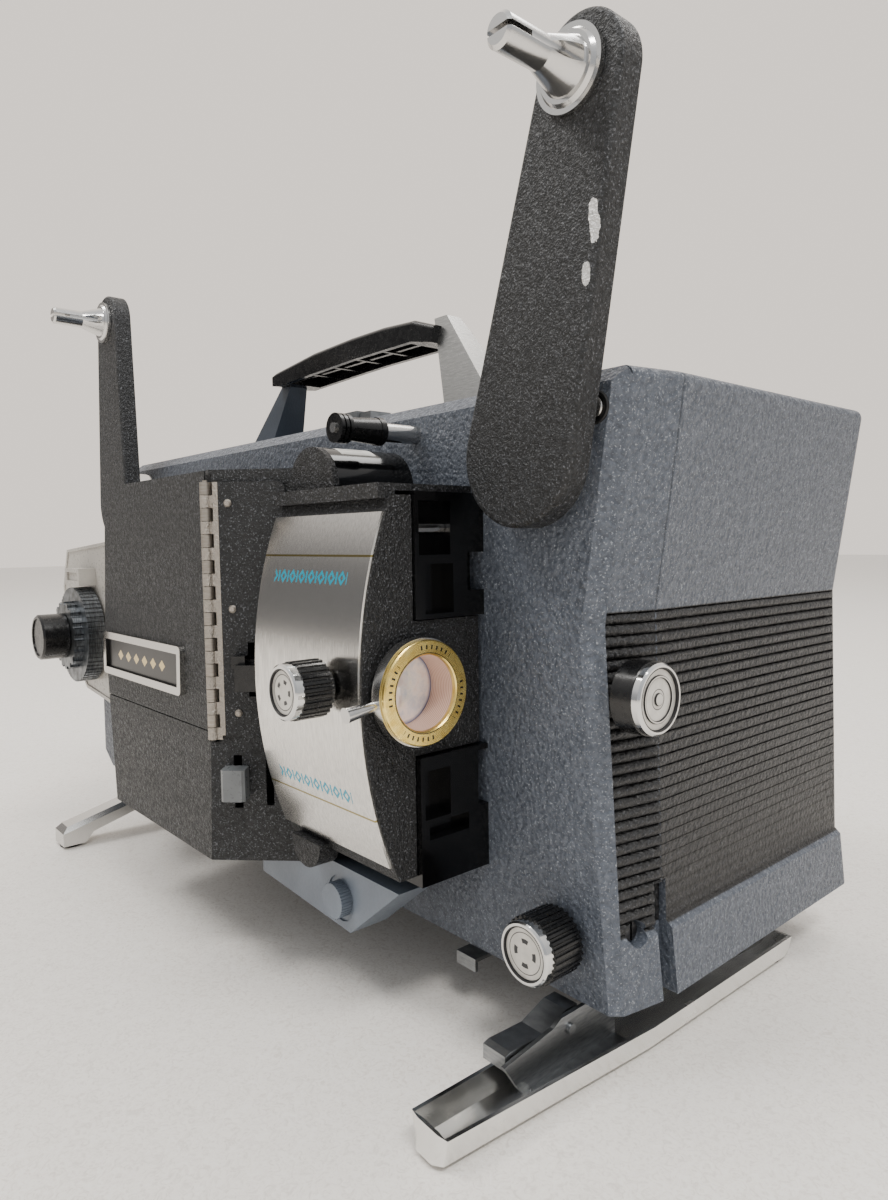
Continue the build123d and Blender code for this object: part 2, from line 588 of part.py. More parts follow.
def bulged_glass(x0, x1, bulge, r):
    """A round glass on the lens axis that is thicker at its middle by bulge on each side."""
    steps = [i / 6 for i in range(7)]
    front = [(x1 + bulge * (1 - t * t), r * t, 0) for t in steps]
    back = [(x0 - bulge * (1 - t * t), r * t, 0) for t in reversed(steps)]
    outline = Face(Wire.make_polygon(front + back))
    return Pos(0, LENS_Y, LENS_Z) * revolve(outline, Axis.X)


def lens_glasses():
    """Front glass, sunk behind the bezel, and rear glass at the film end of the barrel."""
    return bulged_glass(-61.0, -58.5, 1.0, GLASS_R) + bulged_glass(-92.0, -86.0, 1.0, GLASS_R)


def zoom_ring():
    """Ring that turns on the barrel's nose, with its tapered lever."""
    ring = rod_x(-52.7, -49.3, LENS_Y, LENS_Z, BEZEL_R + 0.4)
    lever = rod_y(-13.5, -24.6, 0.0, 0.0, 1.1, 2.1)
    lever = Pos(-51.0, LENS_Y, LENS_Z) * Rot(7.0, 0, 0) * lever
    return ring + lever - rod_x(-53.0, -49.0, LENS_Y, LENS_Z, BARREL_R + FIT)


def focus_knob():
    """Fluted black knob on a shaft that reaches the barrel."""
    knob = knurled(-57.0, -48.0, FOCUS_X, FOCUS_Z, 8.0, 26, 0.55)
    knob += rod_y(-48.4, -45.6, FOCUS_X, FOCUS_Z, 4.6)
    return knob + rod_y(-46.0, -40.6, FOCUS_X, FOCUS_Z, 2.0)


def knob_cap(y0, y1, x, z, r):
    """Bright cap with a raised rim and a shallow flat dish."""
    cap = rod_y(y1, y0, x, z, r)
    cap = chamfer(cap.edges().group_by(Axis.Y)[0], 0.5)
    return cap - rod_y(y0 - 1, y0 + 0.7, x, z, r - 1.5)


def focus_cap():
    """Cap of the focus knob."""
    return knob_cap(-59.6, -57.0, FOCUS_X, FOCUS_Z, 7.6)


def aperture_plate():
    """Steel plate with the film frame's window."""
    plate = box(-100.0, -99.0, -40.5, -14.0, 86.0, 121.0)
    return plate - box(-101.0, -97.0, LENS_Y - 2.3, LENS_Y + 2.3, LENS_Z - 1.7, LENS_Z + 1.7)


def pressure_plate():
    """Plate with two rails that holds the film flat on the aperture plate."""
    plate = box(-98.6, -97.6, -34.0, -21.0, 94.0, 113.0)
    plate += box(-99.0, -98.5, -34.0, -32.4, 94.0, 113.0) + box(-99.0, -98.5, -22.6, -21.0, 94.0, 113.0)
    return plate - box(-100.0, -96.0, LENS_Y - 3.0, LENS_Y + 3.0, LENS_Z - 2.4, LENS_Z + 2.4)


def film_cover():
    """Glossy half-round cover over the upper sprocket."""
    cover = rod_y(-28.5, 0.0, SPROCKET_X, UPPER_SPROCKET_Z, SHROUD_R)
    cover -= rod_y(-29.0, 0.0, SPROCKET_X, UPPER_SPROCKET_Z, SHROUD_R - 1.8)
    return cover & box(-120.0, -80.0, -40.0, 0.0, 160.2, 180.0)


def sprocket(z):
    """Film sprocket: two toothed rims, a waist and its shaft."""
    wheel = rod_y(-24.0, -15.0, SPROCKET_X, z, SPROCKET_R - 1.6)
    for y in (-24.0, -17.5):
        wheel += rod_y(y, y + 2.5, SPROCKET_X, z, SPROCKET_R - 0.6)
    teeth = []
    for i in range(12):
        turn = Pos(SPROCKET_X, -16.5, z) * Rot(0, 30.0 * i, 0)
        teeth.append(turn * Pos(0, 0, SPROCKET_R - 0.5) * Box(0.9, 0.9, 1.0))
    return wheel + teeth + rod_y(-25.0, 12.0, SPROCKET_X, z, 3.0)


def film_roller():
    """Waisted film roller with a ribbed end."""
    roller = rod_y(-30.6, -14.2, ROLLER_X, ROLLER_Z, 3.4)
    roller += rod_y(-16.2, -14.2, ROLLER_X, ROLLER_Z, 4.3)
    roller += rod_y(-27.0, -16.2, ROLLER_X, ROLLER_Z, 3.3, 4.1)
    for y in (-31.0, -29.4, -27.8):
        roller += rod_y(y, y + 1.1, ROLLER_X, ROLLER_Z, 4.4)
    return roller - rod_y(-32.0, -14.0, ROLLER_X, ROLLER_Z, 1.5 + FIT)


def film_guard():
    """Folded guard under the film gate, with a sunk seat for its thumb screw."""
    outline = [(-60.0, 43.8), (-85.0, 23.4), (-140.0, 26.7), (-140.0, 37.6), (-112.4, 37.6), (-112.4, 43.8)]
    guard = sheet_xz(outline, GUARD_FRONT, GUARD_BACK)
    inner = [(-70.0, 41.8), (-86.5, 27.5), (-137.5, 29.5), (-137.5, 36.0), (-110.5, 36.0), (-110.5, 41.8)]
    guard -= sheet_xz(inner, GUARD_FRONT + 2.0, GUARD_BACK + 1.0)
    guard -= rod_y(GUARD_FRONT - 1.0, GUARD_FRONT + 0.6, SCREW_X, SCREW_Z, 7.2)
    guard -= rod_y(GUARD_FRONT - 1.0, GUARD_FRONT + 4.0, SCREW_X, SCREW_Z, 2.0 + FIT)
    return guard + box(-112.4, -104.0, GUARD_BACK - 1.0, 0.0, 38.0, 43.8)


def guard_screw():
    """Knurled thumb screw of the film guard."""
    head = knurled(GUARD_FRONT - 3.4, GUARD_FRONT + 0.6, SCREW_X, SCREW_Z, 5.6, 36, 0.3)
    return head + rod_y(GUARD_FRONT, GUARD_FRONT + 8.0, SCREW_X, SCREW_Z, 2.0)


# ---------------------------------------------------------------- knobs and controls

def tilt_knob():
    """Fluted black knob with a shaft and pinion that drive the tilt rack."""
    knob = knurled(-13.4, -2.6, TILT_X, TILT_Z, 9.2, 30, 0.6)
    knob += rod_y(-3.0, 15.4, TILT_X, TILT_Z, 2.5)
    return knob + rod_y(8.8, 15.2, TILT_X, TILT_Z, TILT_PINION_R - 0.08)


def tilt_cap():
    """Cap of the tilt knob."""
    return knob_cap(-16.2, -13.4, TILT_X, TILT_Z, 8.5)


def inching_knob():
    """Smooth black knob on the shutter shaft, for moving the film by hand."""
    return rod_x(-7.3, -1.2, SHAFT_Y, SHAFT_Z, 9.7)


def inching_cap():
    """Dished bright cap of the inching knob with turned rings."""
    cap = rod_x(-1.2, 1.3, SHAFT_Y, SHAFT_Z, 9.4)
    cap = chamfer(cap.edges().group_by(Axis.X)[-1], 0.6)
    cap -= rod_x(0.5, 2.0, SHAFT_Y, SHAFT_Z, 8.0)
    cap += rod_x(0.4, 0.9, SHAFT_Y, SHAFT_Z, 6.2) - rod_x(0.0, 2.0, SHAFT_Y, SHAFT_Z, 5.6)
    return cap + rod_x(0.4, 1.0, SHAFT_Y, SHAFT_Z, 1.6)


def main_shaft():
    """Shutter shaft with its belt pulley and a collar at each bearing."""
    shaft = rod_x(-140.0, -7.3, SHAFT_Y, SHAFT_Z, SHAFT_R)
    pulley = rod_x(BELT_X - 3.0, BELT_X + 3.0, SHAFT_Y, SHAFT_Z, SHAFT_PULLEY_R)
    pulley -= rod_x(BELT_X - 1.5, BELT_X + 1.5, SHAFT_Y, SHAFT_Z, 40.0) - rod_x(
        BELT_X - 2.0, BELT_X + 2.0, SHAFT_Y, SHAFT_Z, SHAFT_PULLEY_R - 1.6)
    return shaft + pulley


def shutter():
    """Two-blade shutter disc that turns between the lamp and the gate."""
    disc = rod_x(SHUTTER_X - 0.4, SHUTTER_X + 0.4, SHAFT_Y, SHAFT_Z, SHUTTER_R)
    for side in (-1, 1):
        middle = SHAFT_Z + side * 32.0
        disc -= box(SHUTTER_X - 1, SHUTTER_X + 1, SHAFT_Y - 8.0, SHAFT_Y + 8.0, middle - 9.0, middle + 9.0)
    hub = rod_x(SHUTTER_X - 3.0, SHUTTER_X + 3.0, SHAFT_Y, SHAFT_Z, 6.0)
    return disc + hub - rod_x(SHUTTER_X - 4, SHUTTER_X + 4, SHAFT_Y, SHAFT_Z, SHAFT_R)


def motor_body():
    """Motor can with end bells, standing on a bracket on the case floor."""
    can = rod_x(-132.0, -78.0, MOTOR_Y, MOTOR_Z, MOTOR_R)
    can += rod_x(-138.0, -72.0, MOTOR_Y, MOTOR_Z, 14.0)
    foot = box(-124.0, -86.0, MOTOR_Y - 22, MOTOR_Y + 22, CASE_BOTTOM + WALL, 42.0)
    return can + foot - rod_x(-190.0, -40.0, MOTOR_Y, MOTOR_Z, MOTOR_SHAFT_R + FIT)


def motor_rotor():
    """Motor shaft with its pulley at the front and blower wheel at the rear."""
    rotor = rod_x(-176.0, BELT_X + 5.0, MOTOR_Y, MOTOR_Z, MOTOR_SHAFT_R)
    rotor += rod_x(BELT_X - 3.0, BELT_X + 3.0, MOTOR_Y, MOTOR_Z, MOTOR_PULLEY_R)
    rotor -= rod_x(BELT_X - 1.5, BELT_X + 1.5, MOTOR_Y, MOTOR_Z, 20.0) - rod_x(
        BELT_X - 2.0, BELT_X + 2.0, MOTOR_Y, MOTOR_Z, MOTOR_PULLEY_R - 1.6)
    fan = rod_x(-174.0, -171.5, MOTOR_Y, MOTOR_Z, 30.0)
    for i in range(16):
        vane = Pos(-161.0, MOTOR_Y, MOTOR_Z) * Rot(22.5 * i, 0, 0) * Pos(0, 0, 26.0) * Rot(30, 0, 0)
        fan += vane * Box(22.0, 1.0, 8.0)
    return rotor + fan


def drive_belt():
    """Round belt between the motor pulley and the shutter shaft's pulley."""
    path = []
    for extra in (1.3, 0.0):
        low = rod_x(BELT_X - 0.7, BELT_X + 0.7, MOTOR_Y, MOTOR_Z, MOTOR_PULLEY_R - 1.5 + extra)
        high = rod_x(BELT_X - 0.7, BELT_X + 0.7, SHAFT_Y, SHAFT_Z, SHAFT_PULLEY_R - 1.5 + extra)
        path.append(low + high + belt_web(MOTOR_PULLEY_R - 1.5 + extra, SHAFT_PULLEY_R - 1.5 + extra))
    return path[0] - path[1]


def belt_web(low_r, high_r):
    """The flat four-sided area between the belt's two round ends."""
    span = math.hypot(SHAFT_Y - MOTOR_Y, SHAFT_Z - MOTOR_Z)
    along = math.atan2(SHAFT_Z - MOTOR_Z, SHAFT_Y - MOTOR_Y)
    spread = math.acos((low_r - high_r) / span)
    corners = []
    for y, z, r, side in ((MOTOR_Y, MOTOR_Z, low_r, 1), (SHAFT_Y, SHAFT_Z, high_r, 1),
                          (SHAFT_Y, SHAFT_Z, high_r, -1), (MOTOR_Y, MOTOR_Z, low_r, -1)):
        angle = along + side * spread
        corners.append((y + r * math.cos(angle), z + r * math.sin(angle)))
    return sheet_yz(corners, BELT_X - 0.7, BELT_X + 0.7)


def control_housing():
    """Hollow housing of the rear controls, standing out from the film-side face."""
    outline = [(-306.0, 141.0), (-313.5, 124.0), (-306.5, 96.0), (-285.0, 78.0), (-266.5, 74.0),
               (-267.0, 50.0), (-258.0, 44.0), (-244.0, 44.0), (-244.0, 145.0)]
    room = [(-304.3, 138.5), (-311.0, 124.0), (-304.5, 97.4), (-284.0, 80.6), (-264.0, 76.4),
            (-264.4, 51.4), (-257.2, 46.6), (-246.5, 46.6), (-246.5, 142.4)]
    body = sheet_xz(outline, PANEL_Y + 1.2, 0.0) - sheet_xz(room, PANEL_Y + 4.0, 1.0)
    return body - rod_y(-60.0, 2.0, DIAL_X, DIAL_Z, 3.0 + FIT)


def control_panel():
    """Front plate of the rear controls with a raised rim and the small bracket that reads the dial."""
    outline = [(-307.5, 142.5), (-315.5, 124.0), (-308.0, 95.0), (-286.0, 76.5), (-244.0, 72.5), (-244.0, 146.5)]
    inner = [(-306.0, 141.2), (-313.8, 124.0), (-306.7, 95.9), (-285.5, 78.0), (-245.5, 74.2), (-245.5, 145.0)]
    plate = sheet_xz(outline, PANEL_Y, PANEL_Y + 1.2)
    plate -= sheet_xz(inner, PANEL_Y - 1.0, PANEL_Y + 0.5)
    plate += box(-288.0, -268.0, PANEL_Y - 7.0, PANEL_Y + 0.8, 126.2, 134.0)
    plate -= box(-285.5, -270.5, PANEL_Y - 8.0, PANEL_Y - 6.0, 128.4, 132.2)
    return plate - rod_y(-60.0, 2.0, DIAL_X, DIAL_Z, 3.0 + FIT)


def function_dial():
    """Drum with fine ribs on its rim and a scalloped ring in front, on a hollow shaft."""
    drum = knurled(PANEL_Y - 8.0, PANEL_Y - 0.6, DIAL_X, DIAL_Z, DIAL_R, 60, 0.5)
    drum += knurled(PANEL_Y - 12.0, PANEL_Y - 7.9, DIAL_X, DIAL_Z, 15.5, 18, 1.5)
    drum += rod_y(PANEL_Y - 1.0, 8.0, DIAL_X, DIAL_Z, 3.0)
    return drum - rod_y(PANEL_Y - 13.0, 9.0, DIAL_X, DIAL_Z, 1.5 + FIT)


def speed_knob():
    """Black knob in the middle of the dial."""
    knob = rod_y(PANEL_Y - 23.4, PANEL_Y - 12.4, DIAL_X, DIAL_Z, 10.2)
    knob = chamfer(knob.edges().group_by(Axis.Y)[0], 0.8)
    knob -= rod_y(PANEL_Y - 24.0, PANEL_Y - 22.9, DIAL_X, DIAL_Z, 8.4)
    return knob + rod_y(PANEL_Y - 13.0, 12.0, DIAL_X, DIAL_Z, 1.5)


# ---------------------------------------------------------------- feet

def foot_outline(nose, near, middle, far, z):
    """Outline of the front foot at height z, from its half-widths and how far its blunt near end bulges out."""
    stations = [(FOOT_NEAR - nose, 0.55 * near), (FOOT_NEAR, near), (20.0, middle), (FOOT_FAR, far)]
    points = [(-half, y) for y, half in stations] + [(half, y) for y, half in reversed(stations)]
    return Wire.make_polygon([(x, y, z) for x, y in points])


def front_foot():
    """Open-topped channel that the case tilts on, tapering to both ends."""
    outer = Solid.make_loft([foot_outline(1.8, 5.4, 7.4, 4.6, PAD_HEIGHT), foot_outline(0.6, 7.0, 9.4, 6.2, FOOT_TOP)],
                            ruled=True)
    inner = Solid.make_loft([foot_outline(0.9, 4.6, 6.4, 3.8, PAD_HEIGHT + 1.2),
                             foot_outline(-0.4, 5.9, 8.3, 5.1, FOOT_TOP + 0.1)], ruled=True)
    return set_foot(outer - (inner & box(-20.0, 20.0, FOOT_NEAR - 2.4, FOOT_FAR - 1.2, 0.0, 20.0)))


def set_foot(shape):
    """A shape made about the foot's own centre line, set at its place and skew."""
    return Pos(FOOT_X, 20.0, 0) * Rot(0, 0, FOOT_SKEW) * Pos(0, -20.0, 0) * shape


def foot_pads():
    """Rubber pads under the front foot."""
    near = rod_z(0.0, PAD_HEIGHT, 0.0, FOOT_NEAR + 5.5, 4.2)
    far = rod_z(0.0, PAD_HEIGHT, 0.0, FOOT_FAR - 5.0, 3.8)
    return set_foot(near + far)


def foot_bracket():
    """Folded bracket in the front foot with the toothless tilt rack that rises into the case."""
    floor = PAD_HEIGHT + 1.2
    web = [(-22.0, floor), (-24.5, 5.5), (-29.5, 13.2), (-11.0, 15.8), (-8.0, 17.4), (15.0, 17.4), (15.0, floor)]
    bracket = sheet_yz(web, -19.0, -17.8)
    bracket += box(RACK_X - 4.0, -18.0, 5.0, 15.0, 16.2, 17.4)
    bracket += box(-19.0, -13.5, -20.0, 15.0, floor, floor + 1.2)
    bracket += box(RACK_X - 4.0, RACK_X, 9.0, 15.0, 16.5, 64.0)
    return bracket + rod_x(-27.0, -16.8, CATCH_Y, CATCH_Z, 1.4)


def foot_catch():
    """Hooked lever on the foot bracket."""
    strap = [(-26.2, 10.4), (-27.4, 10.4), (-27.4, 14.4), (-25.4, 14.9), (-13.0, 14.3), (-4.0, 17.5), (0.5, 17.5),
             (0.5, 16.3), (-3.6, 16.3), (-12.8, 13.1), (-25.4, 13.7), (-26.2, 13.4)]
    lever = sheet_yz(strap, -27.6, -19.6)
    ear = [(-12.0, 13.6), (-8.0, 10.6), (-1.5, 10.6), (0.3, 16.6), (-4.0, 17.2)]
    lever += sheet_yz(ear, -20.8, -19.6)
    return lever - rod_x(-28.0, -18.0, CATCH_Y, CATCH_Z, 1.4 + FIT)


def rear_foot():
    """Shallow arch of cast metal that carries the case's rear end on its two splayed ends."""
    near, far = REAR_FOOT_NEAR, REAR_FOOT_FAR
    top = [(near, 7.6), (near + 2.5, 10.2), (-21.0, CASE_BOTTOM), (64.0, CASE_BOTTOM), (far - 2.5, 10.2), (far, 7.6)]
    low = [(far, PAD_HEIGHT), (far - 10.0, PAD_HEIGHT), (far - 14.0, 6.0), (60.0, 12.8), (-18.0, 12.8),
           (near + 14.0, 6.0), (near + 10.0, PAD_HEIGHT), (near, PAD_HEIGHT)]
    foot = sheet_yz(top + low, REAR_FOOT_X - 6.5, REAR_FOOT_X + 6.5)
    ridge = foot.edges().filter_by_position(Axis.Z, 10.0, CASE_BOTTOM).group_by(Axis.X)
    return chamfer([edge for edge in ridge[0] + ridge[-1] if edge.center().Y < -20 and edge.center().Z > 12], 2.0)


def rear_pads():
    """Rubber pads under the rear foot."""
    near = rod_z(0.0, PAD_HEIGHT, REAR_FOOT_X, REAR_FOOT_NEAR + 5.0, 4.8)
    return near + rod_z(0.0, PAD_HEIGHT, REAR_FOOT_X, REAR_FOOT_FAR - 5.0, 4.8)


# ---------------------------------------------------------------- handle, lid fittings, inlet

def handle_grip():
    """Arched grip with a sloping front end, hollow below with cross ribs."""
    top = [(-256.0, 228.6), (-250.0, 230.8), (-217.0, 234.0), (-186.0, 235.0), (-162.0, 234.9), (-142.0, 233.6),
           (-129.0, 229.2)]
    low = [(-130.5, 222.6), (-143.0, 225.2), (-186.0, 225.2), (-217.0, 224.4), (-250.0, 223.4), (-256.0, 224.2)]
    grip = sheet_xz(top + low, HANDLE_NEAR, HANDLE_FAR)
    ends = grip.edges().filter_by_position(Axis.Z, 228.0, 236.0).group_by(Axis.Y)
    grip = fillet([edge for edge in ends[0] + ends[-1] if edge.length > 9], 1.8)
    room = [(-242.0, 221.0), (-242.0, 228.6), (-217.0, 231.2), (-186.0, 232.2), (-162.0, 232.1), (-146.0, 231.0),
            (-146.0, 221.0)]
    grip -= sheet_xz(room, HANDLE_NEAR + 2.4, HANDLE_FAR - 2.4)
    for x in (-228.0, -208.0, -188.0, -168.0):
        grip += box(x - 0.9, x + 0.9, HANDLE_NEAR + 1.5, HANDLE_FAR - 1.5, 226.2, 229.6)
    middle = (HANDLE_NEAR + HANDLE_FAR) / 2
    grip += box(-243.0, -145.0, middle - 0.9, middle + 0.9, 226.6, 229.6)
    return grip - [handle_rear_leg(), handle_front_leg()]


def handle_leg(low, high, top_z):
    """Tapering buttress on the case top, from its X and Y limits there to those at its top."""
    wires = []
    for (x0, x1, y0, y1), z in ((low, CASE_TOP), (high, top_z)):
        wires.append(Wire.make_polygon([(x0, y0, z), (x1, y0, z), (x1, y1, z), (x0, y1, z)]))
    return Solid.make_loft(wires, ruled=True)


def handle_rear_leg():
    """Rear leg of the handle, let into the grip's rear end."""
    return handle_leg((-289.0, -263.0, 46.0, 66.0), (-254.6, -246.6, 52.0, 61.0), 226.0)


def handle_front_leg():
    """Front leg of the handle, which also closes the grip's front end."""
    return handle_leg((-120.0, -89.5, 44.5, 64.5), (-133.5, -126.0, 50.5, 57.8), 233.0)


def lid_hook():
    """Bent hook under the case that the lid's lower edge catches on."""
    hook = box(-66.0, -57.5, -2.0, 6.0, 14.8, 15.9) + box(-66.0, -57.5, -2.0, -0.9, 11.8, 15.9)
    return hook + box(-66.0, -57.5, 3.6, 6.0, 15.0, CASE_BOTTOM)


def latch_base():
    """Dark base plate of the lid latch on the case top."""
    base = box(-142.0, -117.0, 6.0, 15.0, CASE_TOP, CASE_TOP + 1.0)
    base += box(-123.6, -117.0, 6.0, 15.0, CASE_TOP + 0.8, CASE_TOP + 3.2)
    return base + rod_x(-141.0, -117.0, 12.5, CASE_TOP + 2.4, 0.7)


def latch_lever():
    """Light thumb lever of the lid latch."""
    lever = box(-140.6, -124.0, 5.0, 13.4, CASE_TOP + 1.3, CASE_TOP + 3.9)
    return lever - rod_x(-142.0, -122.0, 12.5, CASE_TOP + 2.4, 0.7 + FIT)


def power_inlet():
    """Recessed two-pin mains inlet in the rear wall."""
    body = box(-329.6, -316.0, 78.0, 102.0, 56.0, 72.0)
    body -= box(-332.0, -318.5, 80.2, 99.8, 58.2, 69.8)
    return body


def inlet_pins():
    """The inlet's two pins."""
    return rod_x(-328.0, -312.0, 85.0, 64.0, 1.9) + rod_x(-328.0, -312.0, 95.0, 64.0, 1.9)


PARTS = {
    "mechanism_case": mechanism_case,
    "back_cover": back_cover,
    "cover_screws": cover_screws,
    "pivot_studs": pivot_studs,
    "front_reel_arm": lambda: reel_arm(FRONT_ARM_X, FRONT_ARM_FACE, ARM_LEAN),
    "front_spindle": lambda: spindle(FRONT_ARM_X, FRONT_ARM_FACE, ARM_LEAN),
    "rear_reel_arm": lambda: reel_arm(REAR_ARM_X, REAR_ARM_FACE, 0.0),
    "rear_spindle": lambda: spindle(REAR_ARM_X, REAR_ARM_FACE, 0.0),
    "lamp_house_body": lamp_house_body,
    "lamp_door": lamp_door,
    "fixed_hinge_leaf": fixed_leaf,
    "door_hinge_leaf": moving_leaf,
    "nameplate": nameplate,
    "lamp_lever": lamp_lever,
    "framing_tab": framing_tab,
    "lamp_socket": lamp_socket,
    "projection_lamp": projection_lamp,
    "lamp_reflector": lamp_reflector,
    "condenser_lens": condenser_lens,
    "film_gate_body": film_gate_body,
    "film_gate_plates": lambda: aperture_plate() + pressure_plate(),
    "lens_housing": lens_housing,
    "face_plate": face_plate,
    "lens_barrel": lens_barrel,
    "lens_bezel": lens_bezel,
    "lens_glasses": lens_glasses,
    "zoom_ring": zoom_ring,
    "focus_knob": focus_knob,
    "focus_cap": focus_cap,
    "film_cover": film_cover,
    "upper_sprocket": lambda: sprocket(UPPER_SPROCKET_Z),
    "lower_sprocket": lambda: sprocket(LOWER_SPROCKET_Z),
    "film_roller": film_roller,
    "film_guard": film_guard,
    "guard_screw": guard_screw,
    "tilt_knob": tilt_knob,
    "tilt_cap": tilt_cap,
    "inching_knob": inching_knob,
    "inching_cap": inching_cap,
    "main_shaft": lambda: main_shaft() + shutter(),
    "motor_body": motor_body,
    "motor_rotor": motor_rotor,
    "drive_belt": drive_belt,
    "control_housing": control_housing,
    "control_panel": control_panel,
    "function_dial": function_dial,
    "speed_knob": speed_knob,
    "front_foot": front_foot,
    "foot_bracket": foot_bracket,
    "foot_catch": foot_catch,
    "foot_pads": foot_pads,
    "rear_foot": rear_foot,
    "rear_pads": rear_pads,
    "handle_grip": handle_grip,
    "handle_front_leg": handle_front_leg,
    "handle_rear_leg": handle_rear_leg,
    "lid_hook": lid_hook,
    "latch_base": latch_base,
    "latch_lever": latch_lever,
    "power_inlet": lambda: power_inlet() + inlet_pins(),
}


def main():
    """Build every part and write it with the origin at the whole object's bottom centre."""
    os.makedirs("parts", exist_ok=True)
    shapes = {name: make() for name, make in PARTS.items()}
    whole = Compound(children=[Compound(shape.solids()) for shape in shapes.values()]).bounding_box()
    origin = Location((-whole.center().X, -whole.center().Y, -whole.min.Z))
    for name, shape in shapes.items():
        export_step(shape.moved(origin), f"parts/{name}.step")
    print("origin moved by", origin.position)


main()
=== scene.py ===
"""Looks for the portable film projector: camera, light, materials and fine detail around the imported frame."""
import math

import bmesh
import bpy
from mathutils import Matrix, Vector


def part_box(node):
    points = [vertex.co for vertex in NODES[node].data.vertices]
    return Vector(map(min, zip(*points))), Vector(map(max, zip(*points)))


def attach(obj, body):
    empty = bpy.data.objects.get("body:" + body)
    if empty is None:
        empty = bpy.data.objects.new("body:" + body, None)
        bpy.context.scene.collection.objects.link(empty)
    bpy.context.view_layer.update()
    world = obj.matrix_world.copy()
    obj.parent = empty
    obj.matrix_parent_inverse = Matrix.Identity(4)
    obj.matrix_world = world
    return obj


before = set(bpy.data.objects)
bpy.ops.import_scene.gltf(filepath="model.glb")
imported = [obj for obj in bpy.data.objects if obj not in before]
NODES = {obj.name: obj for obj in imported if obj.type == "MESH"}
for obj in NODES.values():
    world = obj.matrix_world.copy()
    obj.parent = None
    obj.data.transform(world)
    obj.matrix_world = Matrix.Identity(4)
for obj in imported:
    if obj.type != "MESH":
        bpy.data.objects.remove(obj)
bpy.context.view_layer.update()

# The layout frame that the sizes below are given in: X = 0 at the case's front top edge, Y = 0 on its film side.
SHIFT = Vector((0.162636, -0.0346, 0.0))


# Axes and heights in the row frame, in metres
LENS_Y, LENS_Z = -0.0276 + SHIFT.y, 0.1034
HINGE_X, HINGE_Y = -0.133 + SHIFT.x, -0.0494 + SHIFT.y
FOCUS_X, FOCUS_Z = -0.0695 + SHIFT.x, 0.1049
TILT_X, TILT_Z = -0.0238 + SHIFT.x, 0.0356
SHAFT_Y, SHAFT_Z = 0.0086 + SHIFT.y, 0.1033
RIB_TOP, RIB_PITCH = 0.1247, 0.0030893
TURN = 2 * math.pi


def at(x, y, z):
    """A point given in layout millimetres, in the row frame in metres."""
    return Vector((x / 1000, y / 1000, z / 1000)) + SHIFT


# ---------------------------------------------------------------- camera, light and floor

def make_camera():
    data = bpy.data.cameras.new("camera")
    data.sensor_width = 36.0
    data.lens = 24.435
    data.clip_start = 0.01
    data.clip_end = 20
    cam = bpy.data.objects.new("camera", data)
    bpy.context.scene.collection.objects.link(cam)
    turn = Matrix.Rotation(math.radians(48.9816), 4, "Z") @ Matrix.Rotation(math.radians(90 - 4.155), 4, "X")
    place = Matrix.Translation(at(119.4, -166.5, 144.32))
    cam.matrix_world = place @ turn @ Matrix.Rotation(math.radians(-0.819), 4, "Z")
    bpy.context.scene.camera = cam


def area_light(name, where, target, size, power, color=(1, 1, 1), size_y=None):
    data = bpy.data.lights.new(name, "AREA")
    data.energy = power
    data.color = color
    data.size = size
    if size_y:
        data.shape = "RECTANGLE"
        data.size_y = size_y
    lamp = bpy.data.objects.new(name, data)
    bpy.context.scene.collection.objects.link(lamp)
    lamp.location = where
    lamp.rotation_euler = (Vector(target) - Vector(where)).to_track_quat("-Z", "Y").to_euler()
    return lamp


def room_light(tree):
    """A pale room, bright ahead and overhead, dimmer behind, with a darker corner that only reflections show."""
    back = tree.nodes["Background"]
    way = tree.nodes.new("ShaderNodeTexCoord").outputs["Generated"]

    def toward(direction, stops):
        dot = tree.nodes.new("ShaderNodeVectorMath")
        dot.operation = "DOT_PRODUCT"
        tree.links.new(way, dot.inputs[0])
        dot.inputs[1].default_value = direction
        half = tree.nodes.new("ShaderNodeMath")
        half.operation = "MULTIPLY_ADD"
        tree.links.new(dot.outputs["Value"], half.inputs[0])
        half.inputs[1].default_value = 0.5
        half.inputs[2].default_value = 0.5
        ramp = tree.nodes.new("ShaderNodeValToRGB")
        tree.links.new(half.outputs[0], ramp.inputs[0])
        elements = ramp.color_ramp.elements
        while len(elements) < len(stops):
            elements.new(0.5)
        for element, (position, color) in zip(elements, stops):
            element.position = position
            element.color = (*color, 1)
        return ramp.outputs[0]

    def times(a, b):
        mix = tree.nodes.new("ShaderNodeMix")
        mix.data_type = "RGBA"
        mix.blend_type = "MULTIPLY"
        mix.inputs[0].default_value = 1.0
        tree.links.new(a, mix.inputs[6])
        tree.links.new(b, mix.inputs[7])
        return mix.outputs[2]

    ahead = toward((-0.754, 0.656, 0.0),
                   [(0.0, (0.62, 0.63, 0.65)), (0.45, (0.72, 0.72, 0.72)), (0.8, (1.13, 1.04, 0.95))])
    corner = toward((-0.85, -0.53, 0.0), [(0.935, (1.0, 1.0, 1.0)), (0.985, (0.16, 0.165, 0.175))])
    over = toward((0.0, 0.0, 1.0), [(0.0, (1.0, 1.0, 1.0)), (0.62, (1.0, 1.0, 1.0)), (0.95, (1.45, 1.45, 1.45))])
    seen = tree.nodes.new("ShaderNodeMix")
    seen.data_type = "RGBA"
    tree.links.new(tree.nodes.new("ShaderNodeLightPath").outputs["Is Camera Ray"], seen.inputs[0])
    tree.links.new(times(times(ahead, corner), over), seen.inputs[6])
    seen.inputs[7].default_value = (1.24, 1.13, 1.02, 1)
    tree.links.new(seen.outputs[2], back.inputs["Color"])
    back.inputs["Strength"].default_value = 1.0


